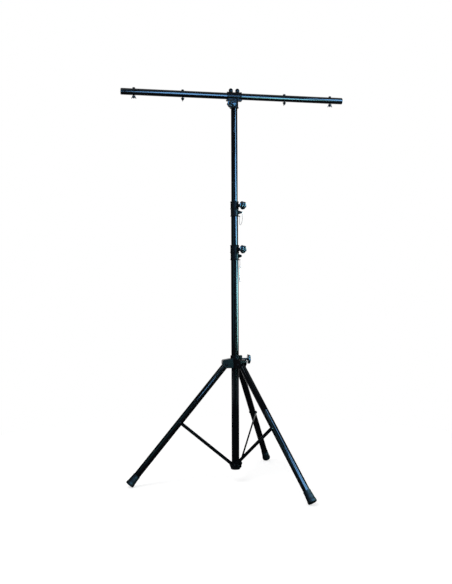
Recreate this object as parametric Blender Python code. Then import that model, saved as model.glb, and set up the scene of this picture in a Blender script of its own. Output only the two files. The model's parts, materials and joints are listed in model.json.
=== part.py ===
"""Lighting bar stand: a folding tripod with three braces, a three-section mast and a cross bar.

Metres, +Z up. The origin is on the mast's axis at floor level, and the cross bar lies along X.
One leg points along -X, under the bar's end, and the other two stand at 60 degrees either side of +X.
"""
import math

import bmesh
import bpy
from mathutils import Vector

# Clearances
GAP = 0.0003              # between neighbours that touch or slide on each other
TURN_GAP = 0.0003         # round a bolt or a screw, in its hole
CLEAR = 0.02              # how far a cutter runs past what it cuts
EDGE = 0.001              # small chamfers

# Mast tubes, each sliding inside the one below
OUTER_DIA = 0.041
TUBE_WALL = 0.0012
OUTER_LENGTH = 1.164
MID_LENGTH = 1.150
TOP_LENGTH = 1.150
MID_SHOWN = 0.236         # outer tube's top to middle tube's top, as the mast stands
BAR_ABOVE_MID = 0.611     # middle tube's top to the bar's centre line, as the mast stands

# Legs and feet
LEG_DIA = 0.035
LEG_WALL = 0.0015
LEG_LENGTH = 0.810        # pivot to the sole of the foot
LEG_SPREAD = math.radians(39.7)
LEG_PIVOT_R = 0.050       # pivot to the mast's axis
LEG_ABOVE_PIVOT = 0.008
LEG_AZIMUTHS = {"left": math.radians(180), "front": math.radians(-60), "rear": math.radians(60)}
FOOT_HEIGHT = 0.062
FOOT_FLOOR = 0.006
FOOT_SOLE_R = 0.0218
FOOT_FLARE_R = 0.0238
FOOT_TOP_R = 0.0196
FOOT_FLARE_TOP = 0.012    # heights above the sole
FOOT_WAIST = 0.034
FOOT_NECK = 0.052

# Braces, one flat strip beside each leg
BRACE_LENGTH = 0.3641     # between its two pivots
BRACE_WIDTH = 0.018
BRACE_THICK = 0.003
BRACE_ALONG_LEG = 0.395   # leg pivot to the brace's bolt
BRACE_PIVOT_R = 0.0223    # lower pivot to the mast's axis, in the strip's own plane
BRACE_BOLT_R = 0.003
BRACE_HEAD_R = 0.0065
BRACE_HEAD = 0.0042
BRACE_END_STEPS = 8

# Sliding hub
HUB_WALL = 0.0047
HUB_BELOW_PIVOT = 0.020
HUB_ABOVE_PIVOT = 0.048
HUB_BEVEL = 0.003
HUB_EAR_WALL = 0.0040
HUB_EAR_REACH = 0.0715    # mast's axis to the end of an ear
HUB_EAR_TOE = 0.002       # pivot to where the ear's foot starts to slope up
HUB_EAR_TOP = 0.032       # heights above the pivot
HUB_NOSE_TOP = 0.019
HUB_NOSE_FOOT = 0.004
HUB_NOSE_SLOPE = (0.005, 0.006)
HUB_HOOD_WALL = 0.004     # of the hood that closes a slot above the leg
HUB_HOOD_LIP = 0.0085
HUB_HOOD_FRONT = 0.0175
HUB_HOOD_SLOPE = (0.0035, 0.0037)
HUB_HOOD_TOP = 0.0268
HUB_BLOCK_REACH = 0.038   # mast's axis to the end of the clamp block
HUB_BLOCK_WIDTH = 0.017
HUB_BLOCK_FOOT = 0.008
HUB_KNOB_ABOVE_PIVOT = 0.0265
PIVOT_BOLT_R = 0.004
PIVOT_HEAD_R = 0.0078
PIVOT_HEAD = 0.0042

# Lower hub
LOWER_HUB_R = 0.0265
LOWER_HUB_DROP = 0.0282   # brace pivot to the hub's underside
LOWER_HUB_HEIGHT = 0.0235
LOWER_HUB_FLOOR = 0.004
LOWER_HUB_EDGE = 0.004
LUG_WALL = 0.0045
LUG_ROUND = 0.009
LUG_FOOT = 0.006          # lower hub's underside to a lug's foot
LUG_FOOT_IN = 0.008       # from the brace pivot towards the mast, and away from it
LUG_FOOT_OUT = 0.0015
LUG_BLIND = 0.0035        # depth of a brace's pivot bolt in the lug's inner wall

# Clamp collars round the tops of the outer and the middle tube
COLLAR_HEIGHT = 0.0815
COLLAR_GRIP = 0.042       # collar's underside to the top of the tube that carries it
COLLAR_WALL = 0.0020
COLLAR_RIM = 0.0022       # rims stand out from the barrel by this
COLLAR_RIM_EDGE = 0.0022
COLLAR_LIP = 0.003
COLLAR_KNOB_UP = 0.057    # collar's underside to its knob
COLLAR_PIN_UP = 0.0225    # collar's underside to its safety pin
COLLAR_BOSS_REACH = 0.034
KNOB_BOSS_R = 0.0095
CONE_REACH = 0.0385
CONE_BASE_R = 0.0105
CONE_TIP_R = 0.0048
COLLAR_KNOB_AZIMUTH = math.radians(315)
PIN_AZIMUTH = math.radians(345)

# Safety pins and lanyards
PIN_R = 0.0032
PIN_LENGTH = 0.068
PIN_HEAD_R = 0.0046
PIN_HEAD_LENGTH = 0.0052
PIN_HOLE_PITCH = 0.150
PIN_HOLE_COUNT = 4
RING_R = 0.0046           # the split ring's middle line
RING_WIRE_R = 0.0008
LANYARD_DIA = 0.002
LANYARD_POINT_STEP = 0.0056
LANYARD_LUG_REACH = 0.0305
LANYARD_EXIT_R = 0.0275   # mast's axis to where a lanyard leaves its collar
LANYARD_LUG_THICK = 0.004
LANYARD_LUG_WIDTH = 0.006
LOWER_PIN_DROP = 0.0425   # collar's underside to the hanging pin's head

# Cross bar and its bracket
BAR_LENGTH = 1.220
BAR_DIA = 0.035
BAR_WALL = 0.0015
CAP_HEAD = 0.004
CAP_PLUG = 0.020
BRACKET_LENGTH = 0.079
BRACKET_WALL = 0.0037
BRACKET_RIM = 0.0020
BRACKET_RIM_WIDTH = 0.006
SADDLE_LENGTH = 0.086
SADDLE_WIDTH = 0.028
SADDLE_TOP = 0.0205       # below the bar's centre line
SADDLE_BOTTOM = 0.0262
SOCKET_WALL = 0.0045
SOCKET_DEPTH = 0.0653     # bar's centre line to the socket's rim
SOCKET_ROOF = 0.0240      # bar's centre line to the blind end of the socket
SOCKET_RIM = 0.0025
SOCKET_RIM_HEIGHT = 0.005
CAP_SCREW_SPACING = 0.036
CAP_SCREW_R = 0.006
CAP_SCREW_HEAD_R = 0.0112
CAP_SCREW_HEAD = 0.0202
DOME_ANGLES = (0, 22, 45, 68)
CAP_SCREW_BOSS_R = 0.0120
CAP_SCREW_BOSS_TOP = 0.0223
CAP_SCREW_BITE = 0.0005   # depth of a screw's end in the saddle
BRACKET_KNOB_BELOW = 0.0515
BRACKET_KNOB_AZIMUTH = math.radians(240)
BRACKET_BOSS_REACH = 0.0300

# Bolts that hang the fixtures under the bar
HANGER_END_INSET = 0.070  # bar's end to the outer bolt
HANGER_PITCH = 0.260      # outer bolt to inner bolt
HANGER_R = 0.004
HANGER_HEAD_FLATS = 0.013
HANGER_HEAD_HEIGHT = 0.0053
YOKE_GAP = 0.0045         # free height between the bar and the washer
WASHER_R = 0.0095
WASHER_THICK = 0.0016
WING_NUT_HEIGHT = 0.008
WING_NUT_TOP_R = 0.0076
WING_NUT_BASE_R = 0.0062
WING_SPAN = 0.027
WING_THICK = 0.0026
WING_DROP = 0.0135
WING_FOOT = 0.0072        # depths below the nut's top
WING_BEND = 0.0078
WING_TIP_TOP = 0.0115
BOLT_END = 0.003          # thread showing below the nut

# Star knobs: radius, thickness, and radius of the neck
COLLAR_KNOB = (0.0240, 0.0185, 0.0075)
HUB_KNOB = (0.0275, 0.0150, 0.0065)
COLLAR_KNOB_BACK = 0.0475  # mast's axis to the knob's back face
HUB_KNOB_BACK = 0.0685
BRACKET_KNOB_BACK = 0.0425
KNOB_LOBES = 5
SCREW_R = 0.004

# Facets
MAST_SIDES = 20
SMALL_SIDES = 10
ROUND_SIDES = 16
KNOB_SIDES = 25
RING_SIDES = 12
RING_WIRE_SIDES = 6
ROUTE_STEPS = 20          # between two points of a lanyard's route, before it is evened out

# Finishes: colour, roughness, metallic
PAINT = ((0.012, 0.013, 0.015, 1.0), 0.18, 0.0)
CASTING = ((0.014, 0.015, 0.018, 1.0), 0.45, 0.0)
PLASTIC = ((0.016, 0.020, 0.026, 1.0), 0.38, 0.0)
NYLON = ((0.030, 0.030, 0.032, 1.0), 0.55, 0.0)
RUBBER = ((0.016, 0.016, 0.017, 1.0), 0.75, 0.0)
DARK_STEEL = ((0.035, 0.037, 0.040, 1.0), 0.35, 1.0)
BRIGHT_STEEL = ((0.62, 0.63, 0.64, 1.0), 0.28, 1.0)

# Worked out from the dimensions above
OUTER_R = OUTER_DIA / 2
MID_R = OUTER_R - TUBE_WALL - GAP
TOP_R = MID_R - TUBE_WALL - GAP
LEG_R = LEG_DIA / 2
BAR_R = BAR_DIA / 2
LEG_PIVOT_Z = LEG_LENGTH * math.cos(LEG_SPREAD) + FOOT_SOLE_R * math.sin(LEG_SPREAD)
BRACE_TOP_R = LEG_PIVOT_R + BRACE_ALONG_LEG * math.sin(LEG_SPREAD)
BRACE_LEAN = math.asin((BRACE_TOP_R - BRACE_PIVOT_R) / BRACE_LENGTH)
BRACE_TOP_Z = LEG_PIVOT_Z - BRACE_ALONG_LEG * math.cos(LEG_SPREAD)
BRACE_PIVOT_Z = BRACE_TOP_Z - BRACE_LENGTH * math.cos(BRACE_LEAN)
BRACE_OFFSET = LEG_R + GAP + BRACE_THICK / 2
LOWER_HUB_Z = BRACE_PIVOT_Z - LOWER_HUB_DROP
OUTER_Z = LOWER_HUB_Z + LOWER_HUB_FLOOR + GAP
OUTER_TOP_Z = OUTER_Z + OUTER_LENGTH
MID_TOP_Z = OUTER_TOP_Z + MID_SHOWN
BAR_Z = MID_TOP_Z + BAR_ABOVE_MID
TOP_TOP_Z = BAR_Z - SOCKET_ROOF - GAP
HUB_BORE_R = OUTER_R + GAP
HUB_R = HUB_BORE_R + HUB_WALL
EAR_INNER_Y = LEG_R + GAP
EAR_OUTER_Y = EAR_INNER_Y + HUB_EAR_WALL
OUTER_HANGER = BAR_LENGTH / 2 - HANGER_END_INSET
INNER_HANGER = OUTER_HANGER - HANGER_PITCH
HANGER_PLACES = {
    "outer_left": -OUTER_HANGER, "inner_left": -INNER_HANGER,
    "inner_right": INNER_HANGER, "outer_right": OUTER_HANGER,
}
QUARTER = math.pi / 2


def clear_scene():
    for old in list(bpy.data.objects):
        bpy.data.objects.remove(old, do_unlink=True)


def frame(name, location=(0, 0, 0), rotation=(0, 0, 0), parent=None):
    """An empty that carries pieces; on a joint's axis where its pieces move."""
    empty = bpy.data.objects.new(name, None)
    empty.empty_display_size = 0.05
    empty.location = location
    empty.rotation_euler = rotation
    empty.parent = parent
    bpy.context.collection.objects.link(empty)
    return empty


def material_of(name, finish):
    colour, roughness, metallic = finish
    material = bpy.data.materials.new(name + "_finish")
    material.use_nodes = True
    shader = material.node_tree.nodes["Principled BSDF"]
    shader.inputs["Base Color"].default_value = colour
    shader.inputs["Roughness"].default_value = roughness
    shader.inputs["Metallic"].default_value = metallic
    return material


def place(name, bm, finish, parent=None, location=(0, 0, 0), rotation=(0, 0, 0)):
    """Turn a bmesh into a named object with its own material."""
    bmesh.ops.recalc_face_normals(bm, faces=bm.faces)
    mesh = bpy.data.meshes.new(name)
    bm.to_mesh(mesh)
    bm.free()
    mesh.shade_smooth()
    mesh.set_sharp_from_angle(angle=math.radians(35))
    piece = bpy.data.objects.new(name, mesh)
    piece.parent = parent
    piece.location = location
    piece.rotation_euler = rotation
    bpy.context.collection.objects.link(piece)
    if finish:
        mesh.materials.append(material_of(name, finish))
    return piece


def combine(target, operation, helpers):
    """Fuse helper shapes to a piece, or cut them out of it."""
    for helper in helpers:
        helper.hide_render = True
        helper.display_type = "WIRE"
        modifier = target.modifiers.new(helper.name, "BOOLEAN")
        modifier.operation = operation
        modifier.object = helper
    return target


def fuse(target, *helpers):
    return combine(target, "UNION", helpers)


def cut(target, *helpers):
    return combine(target, "DIFFERENCE", helpers)


def turned(profile, sides, closed=False, bm=None, centre=(0, 0)):
    """Turn (radius, height) or (radius, height, lobe) points about a vertical line."""
    bm = bm or bmesh.new()
    rings = []
    for radius, height, *lobe in profile:
        depth = lobe[0] if lobe else 0.0
        if radius < GAP / 10:
            rings.append([bm.verts.new((centre[0], centre[1], height))])
            continue
        ring = []
        for k in range(sides):
            angle = math.tau * k / sides
            r = radius * (1 + depth * math.cos(KNOB_LOBES * angle))
            x, y = r * math.cos(angle), r * math.sin(angle)
            ring.append(bm.verts.new((centre[0] + x, centre[1] + y, height)))
        rings.append(ring)
    pairs = list(zip(rings, rings[1:]))
    if closed:
        pairs.append((rings[-1], rings[0]))
    for low, high in pairs:
        for k in range(sides):
            corners = [low[k % len(low)], low[(k + 1) % len(low)],
                       high[(k + 1) % len(high)], high[k % len(high)]]
            bm.faces.new(list(dict.fromkeys(corners)))
    return bm


def rod(radius, low, high, sides=SMALL_SIDES, bm=None, centre=(0, 0)):
    return turned([(0, low), (radius, low), (radius, high), (0, high)], sides, bm=bm, centre=centre)


def pipe(outer, inner, low, high, sides=MAST_SIDES):
    return turned([(outer, low), (outer, high), (inner, high), (inner, low)], sides, closed=True)


def plate(outline, low, high):
    """An outline of (x, z) points, thick along Y from low to high."""
    bm = bmesh.new()
    near = [bm.verts.new((x, low, z)) for x, z in outline]
    far = [bm.verts.new((x, high, z)) for x, z in outline]
    bm.faces.new(near)
    bm.faces.new(far)
    for k in range(len(outline)):
        after = (k + 1) % len(outline)
        bm.faces.new((near[k], near[after], far[after], far[k]))
    return bm


def arc(centre, radius, start, end, steps):
    """Points on a circle, angles in degrees from +X towards +Z."""
    points = []
    for k in range(steps + 1):
        angle = math.radians(start + (end - start) * k / steps)
        points.append((centre[0] + radius * math.cos(angle), centre[1] + radius * math.sin(angle)))
    return points


def across(name, radius, x, z, low, high, parent):
    """A rod along the parent's Y axis, from y = low to y = high, as a cutter."""
    return place(name, rod(radius, -high, -low), None, parent, (x, 0, z), (QUARTER, 0, 0))


def outward(name, radius, low, high, parent):
    """A rod along the parent's X axis, as a cutter or a boss."""
    return place(name, rod(radius, low, high), None, parent, rotation=(0, QUARTER, 0))


def pin_hole_cutter(name, heights, reach, parent):
    """Holes for the safety pin, through both walls of a tube."""
    bm = bmesh.new()
    for height in heights:
        rod(PIN_R + TURN_GAP, -reach, reach, bm=bm, centre=(-height, 0))
    return place(name, bm, None, parent, rotation=(0, QUARTER, 0))


def star_knob(name, size, parent, boss_reach, back):
    """A five-lobed knob on a round skirt: axis along the parent's X, back face at x = back."""
    radius, thickness, neck = size
    start = boss_reach + GAP - back
    profile = [
        (0, start), (neck, start), (neck, 0), (0.90 * radius, 0), (0.96 * radius, 0.16 * thickness),
        (0.86 * radius, 0.32 * thickness, 0.04), (0.84 * radius, 0.44 * thickness, 0.13),
        (0.81 * radius, 0.80 * thickness, 0.14), (0.66 * radius, 0.97 * thickness, 0.13),
        (0.30 * radius, thickness), (0, thickness),
    ]
    return place(name, turned(profile, KNOB_SIDES), PLASTIC, parent, (back, 0, 0), (0, QUARTER, 0))


def clamp_screw(name, parent, tip, boss_reach):
    """The knob's threaded screw, from its tip by the tube to the knob's neck."""
    return place(name, rod(SCREW_R, tip, boss_reach), DARK_STEEL, parent, rotation=(0, QUARTER, 0))


def screw_hole(name, reach, parent):
    return outward(name, SCREW_R + TURN_GAP, 0, reach, parent)


def safety_pin(name, parent, location, rotation, tip):
    """A pin along its own Z: its head at z = 0, its shank down to z = tip, a split ring on its head."""
    head = PIN_HEAD_LENGTH
    profile = [
        (0, tip), (0.6 * PIN_R, tip), (PIN_R, tip + PIN_R), (PIN_R, 0), (PIN_HEAD_R, 0.15 * head),
        (PIN_HEAD_R, 0.7 * head), (0.5 * PIN_HEAD_R, head), (0, head),
    ]
    return place(name, turned(profile, SMALL_SIDES), BRIGHT_STEEL, parent, location, rotation)


def split_ring(name, parent, location, rotation):
    """A closed wire ring that lies in the plane square to its own Z axis."""
    profile = [(RING_R + RING_WIRE_R * math.cos(a), RING_WIRE_R * math.sin(a))
               for a in (math.tau * k / RING_WIRE_SIDES for k in range(RING_WIRE_SIDES))]
    return place(name, turned(profile, RING_SIDES, closed=True), None, parent, location, rotation)


def smooth_route(points, spacing):
    """Evenly spaced points on a Catmull-Rom curve through the route's own points."""
    route = [Vector(p) for p in points]
    ends = [2 * route[0] - route[1]] + route + [2 * route[-1] - route[-2]]
    fine = []
    for a, b, c, d in zip(ends, ends[1:], ends[2:], ends[3:]):
        for step in range(ROUTE_STEPS):
            t = step / ROUTE_STEPS
            fine.append(0.5 * ((2 * b) + (c - a) * t + (2 * a - 5 * b + 4 * c - d) * t ** 2
                               + (3 * b - a - 3 * c + d) * t ** 3))
    fine.append(route[-1])
    length = sum((q - p).length for p, q in zip(fine, fine[1:]))
    count = max(3, round(length / spacing))
    even, walked, k = [fine[0]], 0.0, 1
    for n in range(1, count):
        goal = length * n / count
        while walked + (fine[k] - fine[k - 1]).length < goal:
            walked += (fine[k] - fine[k - 1]).length
            k += 1
        step = fine[k] - fine[k - 1]
        even.append(fine[k - 1] + step * ((goal - walked) / step.length))
    return even + [fine[-1]]


def lanyard(name, points, parent):
    """A steel wire rope as a curve with a round section."""
    curve = bpy.data.curves.new(name, "CURVE")
    curve.dimensions = "3D"
    curve.bevel_depth = LANYARD_DIA / 2
    curve.bevel_resolution = 2
    curve.use_fill_caps = True
    route = smooth_route(points, LANYARD_POINT_STEP)
    spline = curve.splines.new("POLY")
    spline.points.add(len(route) - 1)
    for point, place_on_route in zip(spline.points, route):
        point.co = (*place_on_route, 1.0)
    wire = bpy.data.objects.new(name, curve)
    wire.parent = parent
    bpy.context.collection.objects.link(wire)
    curve.materials.append(material_of(name, BRIGHT_STEEL))
    return wire


def mast_tube(name, radius, bottom, top, hole_heights, parent=None):
    tube = place(name, pipe(radius, radius - TUBE_WALL, bottom, top), PAINT, parent)
    if hole_heights:
        turn = frame(name + "_hole_line", rotation=(0, 0, PIN_AZIMUTH))
        cut(tube, pin_hole_cutter(name + "_pin_holes", hole_heights, radius + TUBE_WALL, turn))
    return tube


def collar(name, tube_r, inner_r, tube_top):
    """A clamp collar on the end of a tube, with its bush, knob, screw and pin boss."""
    bottom = tube_top - COLLAR_GRIP
    bore = tube_r + GAP
    barrel = tube_r + COLLAR_WALL
    upper_barrel = barrel + 0.4 * COLLAR_RIM
    rim = barrel + COLLAR_RIM
    step = COLLAR_RIM_EDGE
    profile = [
        (bore, 0), (rim - step / 2, 0), (rim, step / 2), (rim, 2 * step), (barrel, 3 * step),
        (barrel, COLLAR_GRIP - 2 * step), (rim, COLLAR_GRIP - step), (rim, COLLAR_GRIP + step),
        (upper_barrel, COLLAR_GRIP + 2 * step), (upper_barrel, COLLAR_HEIGHT - 3 * step),
        (rim, COLLAR_HEIGHT - 2 * step), (rim, COLLAR_HEIGHT - step / 2), (rim - step / 2, COLLAR_HEIGHT),
        (inner_r + 3 * GAP, COLLAR_HEIGHT), (inner_r + 3 * GAP, COLLAR_HEIGHT - COLLAR_LIP),
        (bore, COLLAR_HEIGHT - COLLAR_LIP),
    ]
    body = place(name, turned(profile, MAST_SIDES, closed=True), CASTING, None, (0, 0, bottom))

    knob_line = frame(name + "_knob_axis", (0, 0, bottom + COLLAR_KNOB_UP), (0, 0, COLLAR_KNOB_AZIMUTH))
    root = bore + COLLAR_WALL / 2
    boss = outward(name + "_knob_boss", KNOB_BOSS_R, root, COLLAR_BOSS_REACH, knob_line)
    pin_line = frame(name + "_pin_axis", (0, 0, bottom + COLLAR_PIN_UP), (0, 0, PIN_AZIMUTH))
    cone_profile = [(0, root), (CONE_BASE_R, root), (CONE_BASE_R, rim), (CONE_TIP_R, CONE_REACH),
                    (0, CONE_REACH)]
    cone_shape = turned(cone_profile, SMALL_SIDES)
    cone = place(name + "_cone", cone_shape, None, pin_line, rotation=(0, QUARTER, 0))
    half = LANYARD_LUG_WIDTH / 2
    lug_outline = [(-half, 0), (half, 0), (half, LANYARD_LUG_THICK), (-half, LANYARD_LUG_THICK)]
    lug = place(name + "_lug", plate(lug_outline, -LANYARD_LUG_REACH, -barrel), None, pin_line,
                (0, 0, -COLLAR_PIN_UP), (0, 0, QUARTER))
    fuse(body, boss, cone, lug)
    cut(body, screw_hole(name + "_screw_hole", 2 * COLLAR_BOSS_REACH, knob_line),
        outward(name + "_pin_hole", PIN_R + TURN_GAP, -2 * rim, 2 * CONE_REACH, pin_line))

    bush = pipe(tube_r, inner_r + GAP, COLLAR_GRIP + GAP, COLLAR_HEIGHT - COLLAR_LIP - GAP)
    place(name + "_bush", bush, NYLON, None, (0, 0, bottom))
    clamp_screw(name + "_screw", knob_line, tube_r + GAP, COLLAR_BOSS_REACH)
    star_knob(name + "_knob", COLLAR_KNOB, knob_line, COLLAR_BOSS_REACH, COLLAR_KNOB_BACK)
    return pin_line


def build_mast():
    lower_pin_z = OUTER_TOP_Z - COLLAR_GRIP + COLLAR_PIN_UP
    upper_pin_z = MID_TOP_Z - COLLAR_GRIP + COLLAR_PIN_UP
    mast_tube("outer_tube", OUTER_R, OUTER_Z, OUTER_TOP_Z, [lower_pin_z])
    mid_holes = [upper_pin_z] + [lower_pin_z - PIN_HOLE_PITCH * k for k in range(1, PIN_HOLE_COUNT)]
    mast_tube("middle_tube", MID_R, MID_TOP_Z - MID_LENGTH, MID_TOP_Z, mid_holes)
    top_holes = [upper_pin_z - PIN_HOLE_PITCH * k for k in range(PIN_HOLE_COUNT)]
    mast_tube("top_tube", TOP_R, TOP_TOP_Z - TOP_LENGTH, TOP_TOP_Z, top_holes)

    lower_line = collar("lower_collar", OUTER_R, MID_R, OUTER_TOP_Z)
    upper_line = collar("upper_collar", MID_R, TOP_R, MID_TOP_Z)

    pin_head = CONE_REACH + GAP
    pin = safety_pin("upper_safety_pin", upper_line, (pin_head, 0, 0), (0, QUARTER, 0),
                     TOP_R + 2 * GAP - pin_head)
    ring_drop = PIN_HEAD_R + RING_R - RING_WIRE_R
    ring_x = pin_head + PIN_HEAD_LENGTH / 2
    fuse(pin, split_ring("upper_ring", upper_line, (ring_x, 0, -ring_drop), (0, QUARTER, 0)))
    wire_start = -ring_drop - RING_R - RING_WIRE_R - GAP
    lug_bottom = -COLLAR_PIN_UP - GAP
    upper_route = [
        (ring_x, 0, wire_start), (ring_x, 0, wire_start - 0.005), (0.0427, 0, -0.030), (0.0405, 0, -0.048),
        (0.0355, 0, -0.0640), (0.0300, 0, -0.0690), (0.0268, 0, -0.0620), (0.0266, 0, -0.046),
        (LANYARD_EXIT_R, 0, lug_bottom - 0.006), (LANYARD_EXIT_R, 0, lug_bottom),
    ]
    lanyard("upper_lanyard", upper_route, upper_line)

    hanging_z = -COLLAR_PIN_UP - LOWER_PIN_DROP
    hanging = safety_pin("lower_safety_pin", lower_line, (LANYARD_EXIT_R, 0, hanging_z - PIN_HEAD_LENGTH),
                         (0, 0, 0), -PIN_LENGTH)
    lower_ring_z = hanging_z + RING_R - RING_WIRE_R
    fuse(hanging, split_ring("lower_ring", lower_line, (LANYARD_EXIT_R, 0, lower_ring_z), (QUARTER, 0, 0)))
    wire_end = lower_ring_z + RING_R + RING_WIRE_R + GAP
    lower_route = [
        (LANYARD_EXIT_R, 0, lug_bottom), (LANYARD_EXIT_R, 0, lug_bottom - 0.005),
        (LANYARD_EXIT_R + 0.0008, 0.0004, (lug_bottom + wire_end) / 2),
        (LANYARD_EXIT_R, 0, wire_end + 0.005), (LANYARD_EXIT_R, 0, wire_end),
    ]
    lanyard("lower_lanyard", lower_route, lower_line)


def build_hub():
    """The sliding hub: a sleeve with a clamp block and three hooded pairs of ears."""
    low, high = -HUB_BELOW_PIVOT, HUB_ABOVE_PIVOT
    profile = [(HUB_BORE_R, low), (HUB_R, low), (HUB_R, high - HUB_BEVEL), (HUB_R - HUB_BEVEL / 2, high),
               (HUB_BORE_R, high)]
    hub = place("hub_casting", turned(profile, MAST_SIDES, closed=True), CASTING, None, (0, 0, LEG_PIVOT_Z))
    knob_line = frame("hub_knob_axis", (0, 0, LEG_PIVOT_Z + HUB_KNOB_ABOVE_PIVOT))
    root = HUB_BORE_R + HUB_WALL / 2
    ear_root = math.sqrt((HUB_R - HUB_WALL / 4) ** 2 - EAR_OUTER_Y ** 2)
    half = HUB_BLOCK_WIDTH / 2
    end, foot = HUB_BLOCK_REACH, HUB_BLOCK_FOOT
    block_outline = [(root, foot), (end - foot, foot), (end, 2 * foot), (end, high - HUB_BEVEL),
                     (end - HUB_BEVEL, high), (root, high)]
    block = place("hub_block", plate(block_outline, -half, half), None, None, (0, 0, LEG_PIVOT_Z))
    fuse(hub, block)
    reach = HUB_EAR_REACH
    back, rise = HUB_NOSE_SLOPE
    ear_outline = [
        (ear_root, low), (LEG_PIVOT_R + HUB_EAR_TOE, low), (LEG_PIVOT_R + 2 * rise, low + rise),
        (reach, HUB_NOSE_FOOT), (reach, HUB_NOSE_TOP), (reach - back, HUB_NOSE_TOP + rise),
        (root, HUB_EAR_TOP), (ear_root, HUB_EAR_TOP),
    ]
    slot_root = HUB_R + EDGE
    hood_end = reach - HUB_HOOD_WALL
    back, rise = HUB_HOOD_SLOPE
    slot_outline = [
        (slot_root, low - CLEAR), (reach + CLEAR, low - CLEAR), (reach + CLEAR, HUB_HOOD_LIP),
        (hood_end, HUB_HOOD_LIP), (hood_end, HUB_HOOD_FRONT), (hood_end - back, HUB_HOOD_FRONT + rise),
        (slot_root, HUB_HOOD_TOP),
    ]
    for side, azimuth in LEG_AZIMUTHS.items():
        line = frame("hub_ears_" + side, (0, 0, LEG_PIVOT_Z), (0, 0, azimuth))
        fuse(hub, place("ears_" + side, plate(ear_outline, -EAR_OUTER_Y, EAR_OUTER_Y), None, line))
    for side, azimuth in LEG_AZIMUTHS.items():
        line = frame("hub_slot_" + side, (0, 0, LEG_PIVOT_Z), (0, 0, azimuth))
        cut(hub, place("slot_" + side, plate(slot_outline, -EAR_INNER_Y, EAR_INNER_Y), None, line),
            across("pivot_hole_" + side, PIVOT_BOLT_R + TURN_GAP, LEG_PIVOT_R, 0, -EAR_OUTER_Y - CLEAR,
                   EAR_OUTER_Y + CLEAR, line))
    cut(hub, place("hub_bore", rod(HUB_BORE_R, 0, BAR_Z, MAST_SIDES), None),
        screw_hole("hub_screw_hole", 2 * HUB_BLOCK_REACH, knob_line))
    clamp_screw("hub_screw", knob_line, HUB_BORE_R, HUB_BLOCK_REACH)
    star_knob("hub_knob", HUB_KNOB, knob_line, HUB_BLOCK_REACH, HUB_KNOB_BACK)


def bolt(radius, low, high, head_r, head, nut_r=0.0, nut=0.0):
    """A bolt along Z: shank from low to high, a round head above it and, where wanted, a nut below it."""
    below = [(0, low)]
    if nut:
        below = [(0, low - nut), (0.6 * nut_r, low - nut), (nut_r, low - 0.55 * nut), (nut_r, low)]
    above = [(head_r, high), (head_r, high + 0.45 * head), (0.6 * head_r, high + head), (0, high + head)]
    return turned(below + [(radius, low), (radius, high)] + above, SMALL_SIDES)


def build_leg(side, azimuth):
    """One leg, modelled straight down its own -Z from its pivot, then leaned outwards."""
    pivot = (LEG_PIVOT_R * math.cos(azimuth), LEG_PIVOT_R * math.sin(azimuth), LEG_PIVOT_Z)
    upright = frame(side + "_leg_azimuth", pivot, (0, 0, azimuth))
    line = frame(side + "_leg_pivot", (0, 0, 0), (0, -LEG_SPREAD, 0), upright)
    wall = pipe(LEG_R, LEG_R - LEG_WALL, -LEG_LENGTH + FOOT_FLOOR + GAP, LEG_ABOVE_PIVOT)
    tube = place(side + "_leg_tube", wall, PAINT, line)
    past = LEG_R + CLEAR
    pivot_hole = across(side + "_leg_pivot_hole", PIVOT_BOLT_R + TURN_GAP, 0, 0, -past, past, line)
    brace_hole = across(side + "_leg_brace_hole", BRACE_BOLT_R + TURN_GAP, 0, -BRACE_ALONG_LEG, -past, past,
                        line)
    cut(tube, pivot_hole, brace_hole)
    cup = LEG_R + GAP
    foot_profile = [
        (0, 0), (FOOT_SOLE_R, 0), (FOOT_FLARE_R, 2 * EDGE), (FOOT_FLARE_R - 0.4 * EDGE, FOOT_FLARE_TOP),
        (FOOT_TOP_R + 1.2 * EDGE, FOOT_WAIST), (FOOT_TOP_R, FOOT_NECK), (FOOT_TOP_R, FOOT_HEIGHT - EDGE),
        (FOOT_TOP_R - EDGE, FOOT_HEIGHT),
        (cup, FOOT_HEIGHT), (cup, FOOT_FLOOR), (0, FOOT_FLOOR),
    ]
    place(side + "_foot", turned(foot_profile, MAST_SIDES), RUBBER, line, (0, 0, -LEG_LENGTH))

    brace_bolt = bolt(BRACE_BOLT_R, -LEG_R, LEG_R + GAP, BRACE_HEAD_R, BRACE_HEAD)
    place(side + "_brace_bolt", brace_bolt, DARK_STEEL, line, (0, 0, -BRACE_ALONG_LEG), (-QUARTER, 0, 0))
    seat = EAR_OUTER_Y + GAP
    pivot_bolt = bolt(PIVOT_BOLT_R, -seat, seat, PIVOT_HEAD_R, PIVOT_HEAD, PIVOT_HEAD_R, PIVOT_HEAD)
    place(side + "_leg_pivot_bolt", pivot_bolt, DARK_STEEL, upright, rotation=(-QUARTER, 0, 0))


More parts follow.
